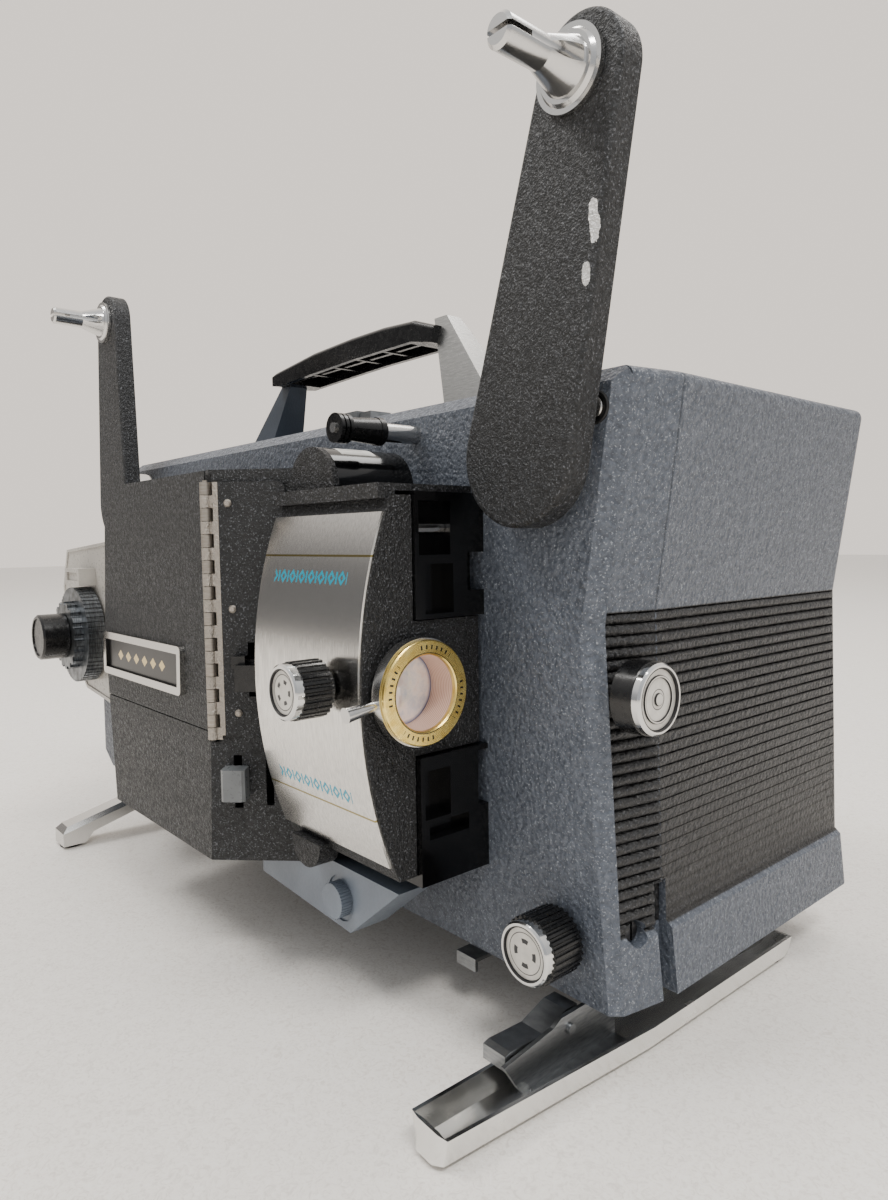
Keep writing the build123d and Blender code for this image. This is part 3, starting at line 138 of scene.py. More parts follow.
def make_light():
    world = bpy.data.worlds.new("studio")
    bpy.context.scene.world = world
    world.use_nodes = True
    room_light(world.node_tree)
    target = (0.0, 0.0, 0.1)
    area_light("ceiling_left", (-0.7, -0.9, 1.9), target, 0.9, 22, (1.0, 0.98, 0.95), 0.35)
    area_light("ceiling_right", (1.1, -0.2, 1.8), target, 0.9, 23, (1.0, 0.98, 0.95), 0.35)
    area_light("ceiling_back", (0.1, 1.0, 1.9), target, 1.0, 10, (1.0, 0.99, 0.97), 0.4)


def make_floor():
    mesh = bpy.data.meshes.new("floor")
    mesh.from_pydata([(-6, -6, 0), (6, -6, 0), (6, 6, 0), (-6, 6, 0)], [], [(0, 1, 2, 3)])
    floor = bpy.data.objects.new("floor", mesh)
    bpy.context.scene.collection.objects.link(floor)
    n = Nodes("floor_pale")
    speck = n.noise(420, 3, rough=0.6, distortion=2.2)
    tone = n.ramp(speck, [(0.32, (0.72, 0.675, 0.62)), (0.5, (0.86, 0.82, 0.765)), (0.7, (0.90, 0.87, 0.82))])
    n.link(tone, "Base Color")
    n.set("Roughness", 0.55)
    floor.data.materials.append(n.material)


# ---------------------------------------------------------------- material building

class Nodes:
    """A small builder for procedural materials on one Principled shader, with Object coordinates in metres."""

    def __init__(self, name):
        self.material = bpy.data.materials.new(name)
        self.material.use_nodes = True
        self.tree = self.material.node_tree
        self.tree.nodes.clear()
        self.out = self.tree.nodes.new("ShaderNodeOutputMaterial")
        self.shader = self.tree.nodes.new("ShaderNodeBsdfPrincipled")
        self.tree.links.new(self.shader.outputs[0], self.out.inputs[0])
        self.coord = self.tree.nodes.new("ShaderNodeTexCoord").outputs["Object"]
        self._xyz = None

    def node(self, kind, **values):
        made = self.tree.nodes.new(kind)
        for key, value in values.items():
            setattr(made, key, value)
        return made

    def put(self, socket, value):
        if isinstance(value, bpy.types.NodeSocket):
            self.tree.links.new(value, socket)
        elif isinstance(value, tuple) and len(value) == 3 and socket.type == "RGBA":
            socket.default_value = (*value, 1)
        else:
            socket.default_value = value

    def link(self, value, name):
        self.put(self.shader.inputs[name], value)

    def set(self, name, value):
        self.put(self.shader.inputs[name], value)

    def xyz(self):
        if self._xyz is None:
            split = self.node("ShaderNodeSeparateXYZ")
            self.put(split.inputs[0], self.coord)
            self._xyz = [split.outputs[i] for i in range(3)]
        return self._xyz

    def math(self, op, a, b=0.0, c=0.0, clamp=False):
        made = self.node("ShaderNodeMath", operation=op, use_clamp=clamp)
        self.put(made.inputs[0], a)
        self.put(made.inputs[1], b)
        if op == "MULTIPLY_ADD":
            self.put(made.inputs[2], c)
        return made.outputs[0]

    def noise(self, scale, detail=2.0, stretch=None, rough=0.5, distortion=0.0):
        made = self.node("ShaderNodeTexNoise")
        self.put(made.inputs["Vector"], self.stretched(stretch))
        made.inputs["Scale"].default_value = scale
        made.inputs["Detail"].default_value = detail
        made.inputs["Roughness"].default_value = rough
        made.inputs["Distortion"].default_value = distortion
        return made.outputs["Fac"]

    def cells(self, scale):
        made = self.node("ShaderNodeTexVoronoi", feature="F1")
        self.put(made.inputs["Vector"], self.coord)
        made.inputs["Scale"].default_value = scale
        return made.outputs["Distance"]

    def stretched(self, stretch):
        if stretch is None:
            return self.coord
        made = self.node("ShaderNodeMapping")
        self.put(made.inputs["Vector"], self.coord)
        made.inputs["Scale"].default_value = stretch
        return made.outputs[0]

    def ramp(self, value, stops):
        made = self.node("ShaderNodeValToRGB")
        self.put(made.inputs[0], value)
        elements = made.color_ramp.elements
        while len(elements) < len(stops):
            elements.new(0.5)
        for element, (position, color) in zip(elements, stops):
            element.position = position
            element.color = (*color, 1) if isinstance(color, tuple) else (color, color, color, 1)
        return made.outputs[0]

    def mix(self, share, a, b):
        made = self.node("ShaderNodeMix", data_type="RGBA")
        self.put(made.inputs[0], share)
        self.put(made.inputs[6], a)
        self.put(made.inputs[7], b)
        return made.outputs[2]

    def bump(self, height, strength, distance):
        made = self.node("ShaderNodeBump")
        made.inputs["Strength"].default_value = strength
        made.inputs["Distance"].default_value = distance
        self.put(made.inputs["Height"], height)
        return made.outputs[0]

    def radius(self, a, b, centre_a, centre_b):
        """Distance from an axis, from two coordinates (0 = X, 1 = Y, 2 = Z) and the axis's place."""
        parts = self.xyz()
        da = self.math("SUBTRACT", parts[a], centre_a)
        db = self.math("SUBTRACT", parts[b], centre_b)
        return self.math("SQRT", self.math("ADD", self.math("MULTIPLY", da, da), self.math("MULTIPLY", db, db)))

    def within(self, value, low, high, soft=0.0002):
        """1 between low and high, with a short ramp at each end."""
        up = self.math("MULTIPLY_ADD", value, 1 / soft, 0.5 - low / soft, clamp=True)
        down = self.math("MULTIPLY_ADD", value, -1 / soft, 0.5 + high / soft, clamp=True)
        return self.math("MULTIPLY", up, down)


def srgb(r, g, b):
    """Linear colour from 0-255 values."""
    out = []
    for c in (r, g, b):
        c /= 255
        out.append(c / 12.92 if c <= 0.04045 else ((c + 0.055) / 1.055) ** 2.4)
    return tuple(out)


def crinkle(name, dark, light, scale=760, depth=0.6, extra=None):
    """Black crinkle enamel: a fine wrinkled skin, with small bright specks painted into its colour as highlights where
    the crests catch the light.
    """
    n = Nodes(name)
    skin = n.noise(scale, 3, rough=0.6, distortion=0.5)
    grit = n.noise(scale * 2.2, 2)
    height = n.math("MULTIPLY_ADD", grit, 0.6, skin)
    body = n.ramp(skin, [(0.40, dark), (0.56, tuple(0.45 * a + 0.55 * b for a, b in zip(light, dark))), (0.68, light)])
    # painted highlights: small bright specks mixed into the colour as glints
    painted_glint = n.ramp(grit, [(0.59, 0.0), (0.69, 0.7)])
    body = n.mix(painted_glint, body, srgb(108, 110, 115))
    n.link(n.ramp(skin, [(0.35, 0.62), (0.7, 0.34)]), "Roughness")
    n.link(n.bump(height, depth, 0.0012), "Normal")
    n.set("Specular IOR Level", 0.5)
    if extra:
        share, color = extra(n)
        body = n.mix(share, body, color)
        n.link(n.math("MULTIPLY", share, 0.95), "Metallic")
    n.link(body, "Base Color")
    return n.material


def hinge_steel(n):
    """The hinge's knuckles and rivets, bare against the painted leaf."""
    barrel = n.math("LESS_THAN", n.radius(0, 1, HINGE_X, HINGE_Y), 0.0044)
    barrel = n.math("MULTIPLY", barrel, n.math("GREATER_THAN", n.xyz()[2], 0.0795))
    x, y, z = n.xyz()
    across = n.math("ADD", x, 0.1334 - SHIFT.x)
    along = n.math("MULTIPLY", n.math("ADD", across, n.math("ADD", y, 0.0489 - SHIFT.y)), 0.70711)
    marks = barrel
    for reach, height in ((0.0075, 0.1575), (0.008, 0.123), (0.009, 0.0885)):
        da = n.math("ADD", along, -reach)
        dz = n.math("ADD", z, -height)
        r = n.math("ADD", n.math("MULTIPLY", da, da), n.math("MULTIPLY", dz, dz))
        marks = n.math("MAXIMUM", marks, n.math("LESS_THAN", r, 0.0013 ** 2))
    return marks, srgb(168, 161, 152)


def hinge_strip(n):
    """The hinge's narrow steel edge where it lies on the lamp house."""
    near = n.math("LESS_THAN", n.radius(0, 1, HINGE_X, HINGE_Y), 0.0034)
    z = n.xyz()[2]
    return n.math("MULTIPLY", near, n.within(z, 0.0822, 0.1645, 0.0002)), srgb(150, 144, 136)


def arm_chips(n):
    """Two chips worn to bare metal on the front arm's edge."""
    x, y, z = n.xyz()
    ragged = n.noise(260, 3)
    marks = None
    for cx, cz, rx, rz in ((-0.0036, 0.2185, 0.0021, 0.0062), (-0.0058, 0.2063, 0.0016, 0.0034)):
        dx = n.math("MULTIPLY", n.math("ADD", x, -cx - SHIFT.x), 1 / rx)
        dz = n.math("MULTIPLY", n.math("ADD", z, -cz), 1 / rz)
        r = n.math("ADD", n.math("MULTIPLY", dx, dx), n.math("MULTIPLY", dz, dz))
        r = n.math("MULTIPLY_ADD", ragged, 1.6, r)
        chip = n.math("MULTIPLY", n.math("LESS_THAN", r, 1.35), n.math("LESS_THAN", y, -0.0095 + SHIFT.y))
        marks = chip if marks is None else n.math("MAXIMUM", marks, chip)
    return marks, srgb(205, 204, 202)


def case_paint():
    """Pebbled blue-grey enamel with small bright specks painted in as highlights, a painted line of shade along the
    shell seam and painted shade in the rib valleys; black in the ribbed bands of both ends.
    """
    n = Nodes("case_paint")
    x, y, z = n.xyz()
    pebble = n.cells(640)
    skin = n.noise(620, 3, rough=0.6, distortion=0.5)
    fine = n.noise(1700, 2)
    patch = n.noise(9, 2)
    body = n.ramp(skin, [(0.36, srgb(66, 72, 82)), (0.52, srgb(80, 86, 96)), (0.68, srgb(94, 100, 110))])
    body = n.mix(n.ramp(patch, [(0.4, 0.0), (0.75, 0.14)]), body, srgb(92, 99, 110))
    # painted highlights: small bright specks mixed into the blue-grey as glints on the pebbled paint
    body = n.mix(n.ramp(fine, [(0.60, 0.0), (0.70, 0.6)]), body, srgb(170, 175, 181))
    # painted shade: a dark line along the seam between the two shells, standing for the shade in the gap
    body = n.mix(n.within(y, 0.0209 + SHIFT.y, 0.0214 + SHIFT.y, 0.00015), body, srgb(22, 24, 27))
    end = n.math("GREATER_THAN", n.math("ABSOLUTE", n.math("ADD", x, 0.165 - SHIFT.x)), 0.1495)
    band = n.within(z, 0.0375, 0.1250, 0.0003)
    behind = n.math("GREATER_THAN", y, 0.0038 + SHIFT.y)
    normal = n.node("ShaderNodeNewGeometry").outputs["Normal"]
    split = n.node("ShaderNodeSeparateXYZ")
    n.put(split.inputs[0], normal)
    facing = n.math("LESS_THAN", n.math("ABSOLUTE", split.outputs[1]), 0.6)
    black = n.math("MULTIPLY", n.math("MULTIPLY", end, band), n.math("MULTIPLY", behind, facing))
    # painted highlights: sparse lighter specks on the black ribs as their sheen
    rib = n.ramp(fine, [(0.42, srgb(14, 15, 17)), (0.58, srgb(29, 30, 33)), (0.72, srgb(78, 80, 84))])
    # painted shade: the colour darkens in each valley between ribs and stays lighter on the crests
    rib_valley_shade = n.math("COSINE", n.math("MULTIPLY_ADD", z, -TURN / RIB_PITCH, RIB_TOP * TURN / RIB_PITCH))
    rib = n.mix(n.ramp(n.math("MULTIPLY_ADD", rib_valley_shade, 0.5, 0.5), [(0.25, 0.0), (0.9, 0.92)]), rib, srgb(4, 4, 5))
    n.link(n.mix(black, body, rib), "Base Color")
    n.link(n.ramp(skin, [(0.3, 0.50), (0.7, 0.34)]), "Roughness")
    height = n.math("MULTIPLY_ADD", pebble, -0.7, n.math("MULTIPLY_ADD", fine, 0.4, skin))
    n.link(n.bump(height, 0.55, 0.0011), "Normal")
    n.set("Specular IOR Level", 0.5)
    return n.material


def smooth_paint(name, low, high, rough=0.42):
    n = Nodes(name)
    patch = n.noise(60, 3)
    grain = n.noise(900, 2)
    n.link(n.ramp(patch, [(0.35, low), (0.7, high)]), "Base Color")
    n.link(n.ramp(grain, [(0.3, rough + 0.06), (0.7, rough - 0.05)]), "Roughness")
    n.link(n.bump(grain, 0.12, 0.0006), "Normal")
    return n.material


def polished(name, color, rough=0.09, smear=0.1):
    """Chrome or bright metal with faint smears and tiny scratches."""
    n = Nodes(name)
    n.set("Metallic", 1.0)
    n.set("Base Color", color)
    dust = n.noise(55, 4)
    scratch = n.noise(420, 2, stretch=(1, 6, 6))
    n.link(n.ramp(dust, [(0.4, rough), (0.8, rough + smear)]), "Roughness")
    n.link(n.bump(scratch, 0.03, 0.0004), "Normal")
    return n.material


def brushed(name, low, high, stretch, rough=0.3, grain_scale=260, depth=0.06):
    n = Nodes(name)
    n.set("Metallic", 1.0)
    lines = n.noise(grain_scale, 3, stretch=stretch)
    n.link(n.ramp(lines, [(0.3, low), (0.7, high)]), "Base Color")
    n.link(n.ramp(lines, [(0.3, rough + 0.07), (0.7, rough - 0.05)]), "Roughness")
    n.link(n.bump(lines, depth, 0.0005), "Normal")
    return n.material


def moulded(name, low, high, rough=0.4, grain=700, depth=0.1):
    """Moulded plastic: slight mottling and a fine skin."""
    n = Nodes(name)
    patch = n.noise(90, 3)
    skin = n.noise(grain, 2)
    n.link(n.ramp(patch, [(0.3, low), (0.75, high)]), "Base Color")
    n.link(n.ramp(skin, [(0.3, rough + 0.08), (0.75, rough - 0.06)]), "Roughness")
    n.link(n.bump(skin, depth, 0.0005), "Normal")
    return n.material


def turned_cap(name, a, b, centre, dish, rings, marks=0):
    """Bright turned cap: a cream disc with fine dark rings and, for marks, short generic dashes, in a chrome rim."""
    n = Nodes(name)
    r = n.radius(a, b, centre[0], centre[1])
    disc = n.math("LESS_THAN", r, dish)
    lines = n.within(r, dish - 0.0002, dish + 0.0003, 0.0001)
    for ring in rings:
        lines = n.math("MAXIMUM", lines, n.within(r, ring - 0.00012, ring + 0.00012, 0.0001))
    if marks:
        parts = n.xyz()
        turn = n.math("ARCTAN2", n.math("ADD", parts[b], -centre[1]), n.math("ADD", parts[a], -centre[0]))
        dash = n.math("GREATER_THAN", n.math("COSINE", n.math("MULTIPLY", turn, marks)), 0.25)
        lines = n.math("MAXIMUM", lines, n.math("MULTIPLY", dash, n.within(r, dish * 0.38, dish * 0.56, 0.0001)))
    cream = n.ramp(n.noise(300, 2), [(0.3, srgb(196, 193, 186)), (0.7, srgb(214, 211, 204))])
    body = n.mix(disc, srgb(214, 214, 213), cream)
    n.link(n.mix(lines, body, srgb(52, 52, 54)), "Base Color")
    n.link(n.math("MULTIPLY_ADD", disc, -0.62, 1.0), "Metallic")
    n.link(n.math("MULTIPLY_ADD", disc, 0.26, 0.1), "Roughness")
    n.link(n.bump(n.math("SINE", n.math("MULTIPLY", r, TURN / 0.0008)), 0.05, 0.0001), "Normal")
    return n.material


def ornament(n, middle):
    """A plain repeating border of small lozenges and uprights across the face plate, at one height."""
    x, _, z = n.xyz()
    start = -0.1035 + SHIFT.x
    cell = n.math("PINGPONG", n.math("ADD", x, -start), 0.0026)
    tall = n.math("ABSOLUTE", n.math("ADD", z, -middle))
    lozenge = n.math("MULTIPLY", n.math("LESS_THAN", n.math("MULTIPLY_ADD", cell, 1.1, tall), 0.0021),
                     n.math("GREATER_THAN", n.math("MULTIPLY_ADD", cell, 1.1, tall), 0.0009))
    upright = n.math("MULTIPLY", n.math("GREATER_THAN", cell, 0.0022), n.math("LESS_THAN", tall, 0.0017))
    return n.math("MULTIPLY", n.math("MAXIMUM", lozenge, upright), n.within(x, start, start + 0.0390, 0.0001))


def face_plate_metal():
    """Curved satin plate with fine vertical-grain brushing and two gold pinstripes."""
    n = Nodes("satin_plate")
    n.set("Metallic", 1.0)
    z = n.xyz()[2]
    lines = n.noise(300, 3, stretch=(7, 7, 0.5))
    metal = n.ramp(lines, [(0.3, srgb(206, 204, 200)), (0.7, srgb(232, 230, 226))])
    stripes = n.math("ADD", n.within(z, 0.1403, 0.1409, 0.00008), n.within(z, 0.0686, 0.0692, 0.00008))
    metal = n.mix(stripes, metal, srgb(150, 136, 78))
    marks = n.math("MAXIMUM", ornament(n, 0.1345), ornament(n, 0.0736))
    n.link(n.mix(marks, metal, srgb(22, 150, 176)), "Base Color")
    n.link(n.math("MULTIPLY_ADD", marks, -0.85, 1.0), "Metallic")
    n.link(n.ramp(lines, [(0.3, 0.25), (0.7, 0.17)]), "Roughness")
    n.link(n.bump(lines, 0.05, 0.0004), "Normal")
    n.set("Coat Weight", 0.25)
    n.set("Coat Roughness", 0.12)
    return n.material


def clear_glass(name):
    n = Nodes(name)
    n.set("Base Color", (1, 1, 1))
    n.set("Roughness", 0.0)
    n.set("IOR", 1.5)
    n.set("Transmission Weight", 1.0)
    dust = n.noise(180, 3)
    n.link(n.bump(dust, 0.01, 0.0002), "Normal")
    return n.material


def lens_glass():
    """Coated glass: a soft pinkish-white reflection and a bluish rim, both painted into the base colour."""
    n = Nodes("lens_glass")
    r = n.radius(1, 2, LENS_Y, LENS_Z)
    reflection_noise = n.noise(120, 4, rough=0.7)
    # painted reflection: a mottled pinkish-white colour standing in for what the coated glass reflects
    painted_reflection = n.ramp(reflection_noise, [(0.35, srgb(240, 222, 216)), (0.5, srgb(252, 248, 246)),
                         (0.65, srgb(216, 224, 236)), (0.8, srgb(248, 226, 214))])
    # painted reflection: a bluish rim towards the edge of the glass
    rim = n.math("MULTIPLY_ADD", r, 900, -8.2, clamp=True)
    n.link(n.mix(rim, painted_reflection, srgb(120, 132, 168)), "Base Color")
    n.set("Roughness", 0.06)
    n.set("Metallic", 0.15)
    n.set("Coat Weight", 1.0)
    n.set("Coat Roughness", 0.02)
    return n.material


def barrel_metal():
    """Lens tube: black outside, fine copper-coloured threads inside, with lighter and darker bands painted along them
    as highlight and shade.
    """
    n = Nodes("barrel_metal")
    x = n.xyz()[0]
    r = n.radius(1, 2, LENS_Y, LENS_Z)
    inside = n.math("LESS_THAN", r, 0.0112)
    thread = n.math("SINE", n.math("MULTIPLY", x, TURN / 0.0007))
    # painted highlight and shade: thread crests lighter, grooves darker, in step with the thread bump
    copper = n.ramp(n.math("MULTIPLY_ADD", thread, 0.5, 0.5), [(0.2, srgb(214, 172, 150)), (0.8, srgb(250, 226, 212))])
    n.link(n.mix(inside, srgb(16, 16, 17), copper), "Base Color")
    n.link(n.math("MULTIPLY", inside, 0.25), "Metallic")
    n.set("Roughness", 0.34)
    n.link(n.bump(thread, 0.3, 0.0002), "Normal")
    return n.material


def gold_ring():
    """Gold front ring with a black inner edge and small black ticks round it."""
    n = Nodes("gold_ring")
    parts = n.xyz()
    r = n.radius(1, 2, LENS_Y, LENS_Z)
    turn = n.math("ARCTAN2", n.math("ADD", parts[2], -LENS_Z), n.math("ADD", parts[1], -LENS_Y))
    tick = n.math("GREATER_THAN", n.math("COSINE", n.math("MULTIPLY", turn, 44)), 0.55)
    group = n.math("GREATER_THAN", n.math("COSINE", n.math("MULTIPLY_ADD", turn, 4, 0.9)), -0.35)
    ticks = n.math("MULTIPLY", n.math("MULTIPLY", tick, group), n.within(r, 0.0119, 0.0131, 0.0001))
    edge = n.within(r, 0.0108, 0.0111, 0.0001)
    marks = n.math("MAXIMUM", ticks, edge)
    spun = n.noise(400, 2)
    gold = n.ramp(spun, [(0.3, srgb(232, 198, 106)), (0.7, srgb(250, 226, 142))])
    n.link(n.mix(marks, gold, srgb(30, 26, 18)), "Base Color")
    n.link(n.math("MULTIPLY_ADD", marks, -0.9, 1.0), "Metallic")
    n.set("Roughness", 0.27)
    ring = n.math("SINE", n.math("MULTIPLY", r, TURN / 0.0004))
    n.link(n.bump(ring, 0.12, 0.0001), "Normal")
    return n.material


def nameplate_metal():
    """Chrome rim round a dark striped field with a plain diamond ornament."""
    n = Nodes("nameplate_metal")
    x, _, z = n.xyz()
    low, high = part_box("nameplate")
    rim = 0.0028
    field = n.math("MULTIPLY", n.within(x, low.x + rim, high.x - rim, 0.0001),
                   n.within(z, low.z + rim, high.z - rim, 0.0001))
    middle = (low.z + high.z) / 2
    cell = n.math("PINGPONG", n.math("ADD", x, -low.x), 0.0042)
    tall = n.math("ABSOLUTE", n.math("ADD", z, -middle))
    diamond = n.math("LESS_THAN", n.math("MULTIPLY_ADD", cell, 0.75, tall), 0.0021)
    span = n.within(x, low.x + 0.0126, low.x + 0.0630, 0.0001)
    marks = n.math("MULTIPLY", n.math("MULTIPLY", diamond, span), field)
    dark = n.mix(marks, srgb(10, 9, 9), srgb(208, 188, 138))
    n.link(n.mix(field, srgb(200, 198, 194), dark), "Base Color")
    plain = n.math("SUBTRACT", field, marks)
    n.link(n.math("SUBTRACT", 1.0, plain), "Metallic")
    n.link(n.math("MULTIPLY_ADD", plain, 0.16, 0.12), "Roughness")
    return n.material


def foot_chrome():
    """Chrome of the tilt foot, slightly dulled by dust."""
    n = Nodes("foot_chrome")
    dust = n.noise(55, 4)
    n.set("Metallic", 1.0)
    n.link(n.ramp(dust, [(0.3, srgb(226, 225, 222)), (0.7, srgb(240, 239, 236))]), "Base Color")
    n.link(n.ramp(dust, [(0.4, 0.17), (0.8, 0.32)]), "Roughness")
    n.link(n.bump(n.noise(420, 2, stretch=(6, 1, 6)), 0.05, 0.0004), "Normal")
    return n.material


def gate_black():
    """Glossy black of the film gate, with its bright guide pin."""
    n = Nodes("gate_black")
    pin = n.math("MULTIPLY", n.math("LESS_THAN", n.radius(0, 2, -0.058 + SHIFT.x, 0.148), 0.0021),
                 n.math("LESS_THAN", n.xyz()[1], -0.0132 + SHIFT.y))
    patch = n.noise(90, 3)
    body = n.ramp(patch, [(0.3, srgb(5, 5, 6)), (0.75, srgb(11, 11, 12))])
    n.link(n.mix(pin, body, srgb(205, 204, 202)), "Base Color")
    n.link(pin, "Metallic")
    n.link(n.ramp(n.noise(300, 2), [(0.3, 0.2), (0.75, 0.12)]), "Roughness")
    return n.material


def cover_gloss():
    """Glossy black half-round cover with a small blank white label over its top."""
    n = Nodes("cover_gloss")
    x, y, z = n.xyz()
    turn = n.math("ARCTAN2", n.math("ADD", z, -0.161), n.math("ADD", x, 0.099 - SHIFT.x))
    along = n.within(y, -0.0238 + SHIFT.y, -0.0108 + SHIFT.y, 0.0002)
    label = n.math("MULTIPLY", n.within(turn, 0.95, 1.62, 0.02), along)
    line = n.math("MULTIPLY", n.within(turn, 1.2, 1.24, 0.01), n.within(y, -0.0225 + SHIFT.y, -0.014 + SHIFT.y, 0.0002))
    black = n.ramp(n.noise(90, 3), [(0.3, srgb(6, 6, 7)), (0.75, srgb(12, 12, 13))])
    white = n.mix(line, srgb(206, 205, 200), srgb(120, 120, 118))
    n.link(n.mix(label, black, white), "Base Color")
    n.link(n.math("MULTIPLY_ADD", label, 0.3, 0.13), "Roughness")
    return n.material


def plain(name, color, rough, **others):
    """A plain but mottled surface for inner pieces."""
    n = Nodes(name)
    patch = n.noise(120, 3)
    n.link(n.ramp(patch, [(0.3, tuple(c * 0.85 for c in color)), (0.7, color)]), "Base Color")
    n.set("Roughness", rough)
    for key, value in others.items():
        n.set(key, value)
    return n.material


def paint(node, material):
    mesh = NODES[node].data
    mesh.materials.clear()
    mesh.materials.append(material)
    for face in mesh.polygons:
        face.material_index = 0


def paint_all():
    case = case_paint()
    black = crinkle("black_crinkle", srgb(4, 5, 6), srgb(28, 30, 33), extra=hinge_strip)
    leaf = crinkle("hinge_leaf_crinkle", srgb(3, 4, 5), srgb(22, 23, 26), extra=hinge_steel)
    arm = crinkle("arm_crinkle_worn", srgb(5, 6, 7), srgb(36, 38, 41), extra=arm_chips)
    housing = crinkle("housing_crinkle", srgb(2, 2, 3), srgb(20, 21, 23), 820, 0.7)
    chrome = foot_chrome()
    chrome_soft = polished("chrome_soft", srgb(205, 204, 202), 0.16, 0.12)
    steel = brushed("steel", srgb(126, 121, 114), srgb(162, 156, 148), (1, 1, 8))
    satin = brushed("satin_steel", srgb(128, 130, 132), srgb(160, 162, 164), (1, 1, 5), 0.34)
    dark_steel = brushed("dark_steel", srgb(58, 58, 60), srgb(84, 84, 86), (1, 1, 5), 0.4)
    knob = moulded("knob_black", srgb(5, 5, 6), srgb(11, 11, 12), 0.24, 500, 0.04)
    grip = moulded("grip_black", srgb(9, 9, 10), srgb(18, 18, 19), 0.22, 500, 0.12)
    rubber = moulded("rubber", srgb(16, 16, 16), srgb(28, 28, 27), 0.7, 400, 0.2)
    # painted shade: the rear handle leg, the same part as the bright metal front leg, is given a dark blue-grey where
    # it falls dark
    leg = smooth_paint("rear_leg_painted_shade", srgb(48, 56, 66), srgb(62, 70, 82))
    guard = smooth_paint("guard_paint", srgb(98, 106, 117), srgb(112, 121, 132), 0.36)
    bright = brushed("leg_bright", srgb(172, 172, 170), srgb(206, 206, 204), (1, 1, 6), 0.3)
    panel = smooth_paint("panel_paint", srgb(168, 164, 157), srgb(190, 186, 178), 0.3)
    dial = brushed("dial_metal", srgb(70, 73, 76), srgb(132, 136, 140), (1, 9, 1), 0.34)
    tab = moulded("light_tab", srgb(92, 95, 97), srgb(116, 119, 121), 0.3)
    cast = brushed("cast_aluminium", srgb(140, 140, 140), srgb(170, 170, 170), (1, 1, 1), 0.5)
    motor = smooth_paint("motor_paint", srgb(28, 28, 30), srgb(40, 40, 42))
    focus = turned_cap("cap_focus", 0, 2, (FOCUS_X, FOCUS_Z), 0.0061, (0.0048,), 5)
    tilt = turned_cap("cap_tilt", 0, 2, (TILT_X, TILT_Z), 0.0070, (0.0055,), 4)
    inching = turned_cap("cap_inching", 1, 2, (SHAFT_Y, SHAFT_Z), 0.0080, (0.0016, 0.0026, 0.0056, 0.0062))
    looks = {
        case: ["mechanism_case", "back_cover", "control_housing"],
        black: ["lamp_house_body", "lamp_door"],
        leaf: ["fixed_hinge_leaf"],
        arm: ["front_reel_arm", "rear_reel_arm"],
        housing: ["lens_housing"],
        gate_black(): ["film_gate_body"],
        cover_gloss(): ["film_cover"],
        chrome: ["front_foot"],
        chrome_soft: ["rear_foot", "front_spindle", "rear_spindle", "zoom_ring", "pivot_studs"],
        brushed("hinge_steel", srgb(150, 143, 134), srgb(172, 165, 156), (1, 1, 8), 0.45): ["door_hinge_leaf"],
        steel: ["film_gate_plates", "upper_sprocket", "lower_sprocket", "main_shaft"],
        satin: ["latch_base", "foot_bracket", "foot_catch", "lid_hook"],
        dark_steel: ["cover_screws"],
        knob: ["focus_knob", "framing_tab", "tilt_knob", "inching_knob", "speed_knob", "film_roller", "power_inlet"],
        grip: ["handle_grip"],
        rubber: ["foot_pads", "rear_pads", "drive_belt"],
        leg: ["handle_rear_leg"],
        guard: ["film_guard", "guard_screw"],
        bright: ["handle_front_leg"],
        panel: ["control_panel"],
        dial: ["function_dial"],
        tab: ["lamp_lever", "latch_lever"],
        cast: ["motor_rotor"],
        motor: ["motor_body"],
        face_plate_metal(): ["face_plate"],
        lens_glass(): ["lens_glasses"],
        clear_glass("lamp_glass"): ["projection_lamp", "condenser_lens"],
        barrel_metal(): ["lens_barrel"],
        gold_ring(): ["lens_bezel"],
        nameplate_metal(): ["nameplate"],
        plain("ceramic", srgb(214, 206, 188), 0.6): ["lamp_socket"],
        polished("mirror", srgb(225, 225, 225), 0.04, 0.05): ["lamp_reflector"],
        focus: ["focus_cap"],
        tilt: ["tilt_cap"],
        inching: ["inching_cap"],
    }
    for material, names in looks.items():
        for name in names:
            paint(name, material)


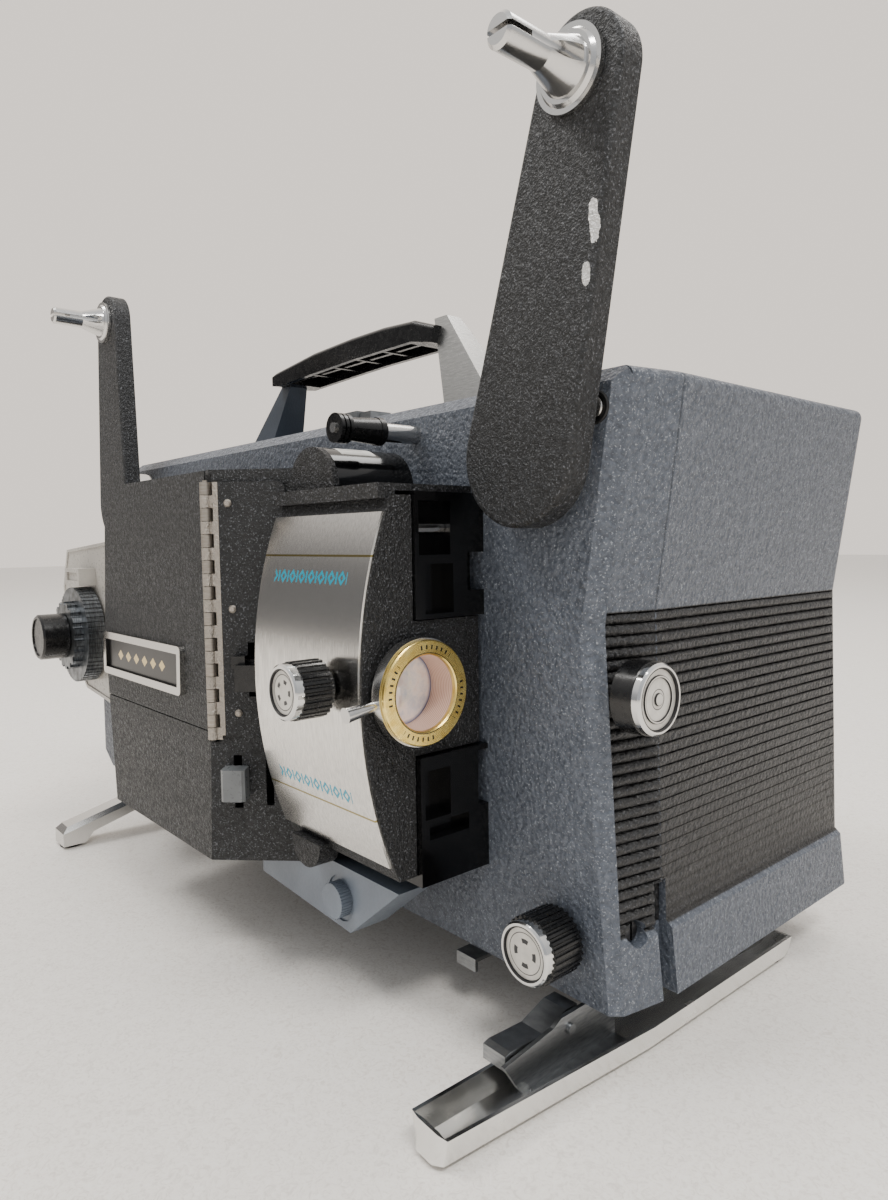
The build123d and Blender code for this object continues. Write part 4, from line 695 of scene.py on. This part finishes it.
def turned_piece(name, centre, direction, profile, material, body):
    """A small lathe-turned piece: profile is radius, height pairs in mm along its direction, from the centre out."""
    mesh = bmesh.new()
    turn = Vector(direction).to_track_quat("Z", "Y").to_matrix()
    rings = []
    for r, h in profile:
        ring = []
        for i in range(40):
            angle = TURN * i / 40
            point = Vector((r * math.cos(angle), r * math.sin(angle), h)) / 1000
            ring.append(mesh.verts.new(centre + turn @ point))
        rings.append(ring)
    for low, high in zip(rings, rings[1:]):
        for i in range(40):
            mesh.faces.new((low[i], low[(i + 1) % 40], high[(i + 1) % 40], high[i]))
    mesh.faces.new(rings[-1])
    mesh.faces.new(list(reversed(rings[0])))
    data = bpy.data.meshes.new(name)
    mesh.normal_update()
    mesh.to_mesh(data)
    mesh.free()
    data.materials.append(material)
    for face in data.polygons:
        face.use_smooth = True
    data.set_sharp_from_angle(angle=math.radians(35))
    piece = bpy.data.objects.new(name, data)
    bpy.context.scene.collection.objects.link(piece)
    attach(piece, body)
    return piece


def small_pieces():
    """A bright stud beside the front arm, in a black ring that stands for the shade of the hole it sits in."""
    socket = plain("stud_hole_shade", srgb(12, 12, 13), 0.5)
    stud = polished("stud_chrome", srgb(206, 204, 200), 0.15)
    centre = at(-12.6, 0.02, 177.4)
    out = (0, -1, 0)
    rim = [(4.3, 0.0), (4.3, 0.35), (4.0, 0.6), (3.4, 0.6), (3.2, 0.2)]
    # painted shade: the black ring round the stud stands for the dark of the hole around it
    turned_piece("stud_hole_shade_ring", centre, out, rim, socket, "case")
    turned_piece("stud_head", centre, out, [(2.7, 0.1), (2.7, 0.75), (2.3, 1.1), (1.4, 1.35), (0.5, 1.4)], stud, "case")


def soften(node, width):
    """Rounds a node's sharp edges slightly, for the eye only."""
    bevel = NODES[node].modifiers.new("soft_edges", "BEVEL")
    bevel.width = width
    bevel.segments = 2
    bevel.limit_method = "ANGLE"
    bevel.angle_limit = math.radians(50)


make_camera()
make_light()
make_floor()
paint_all()
small_pieces()
soften("nameplate", 0.0005)
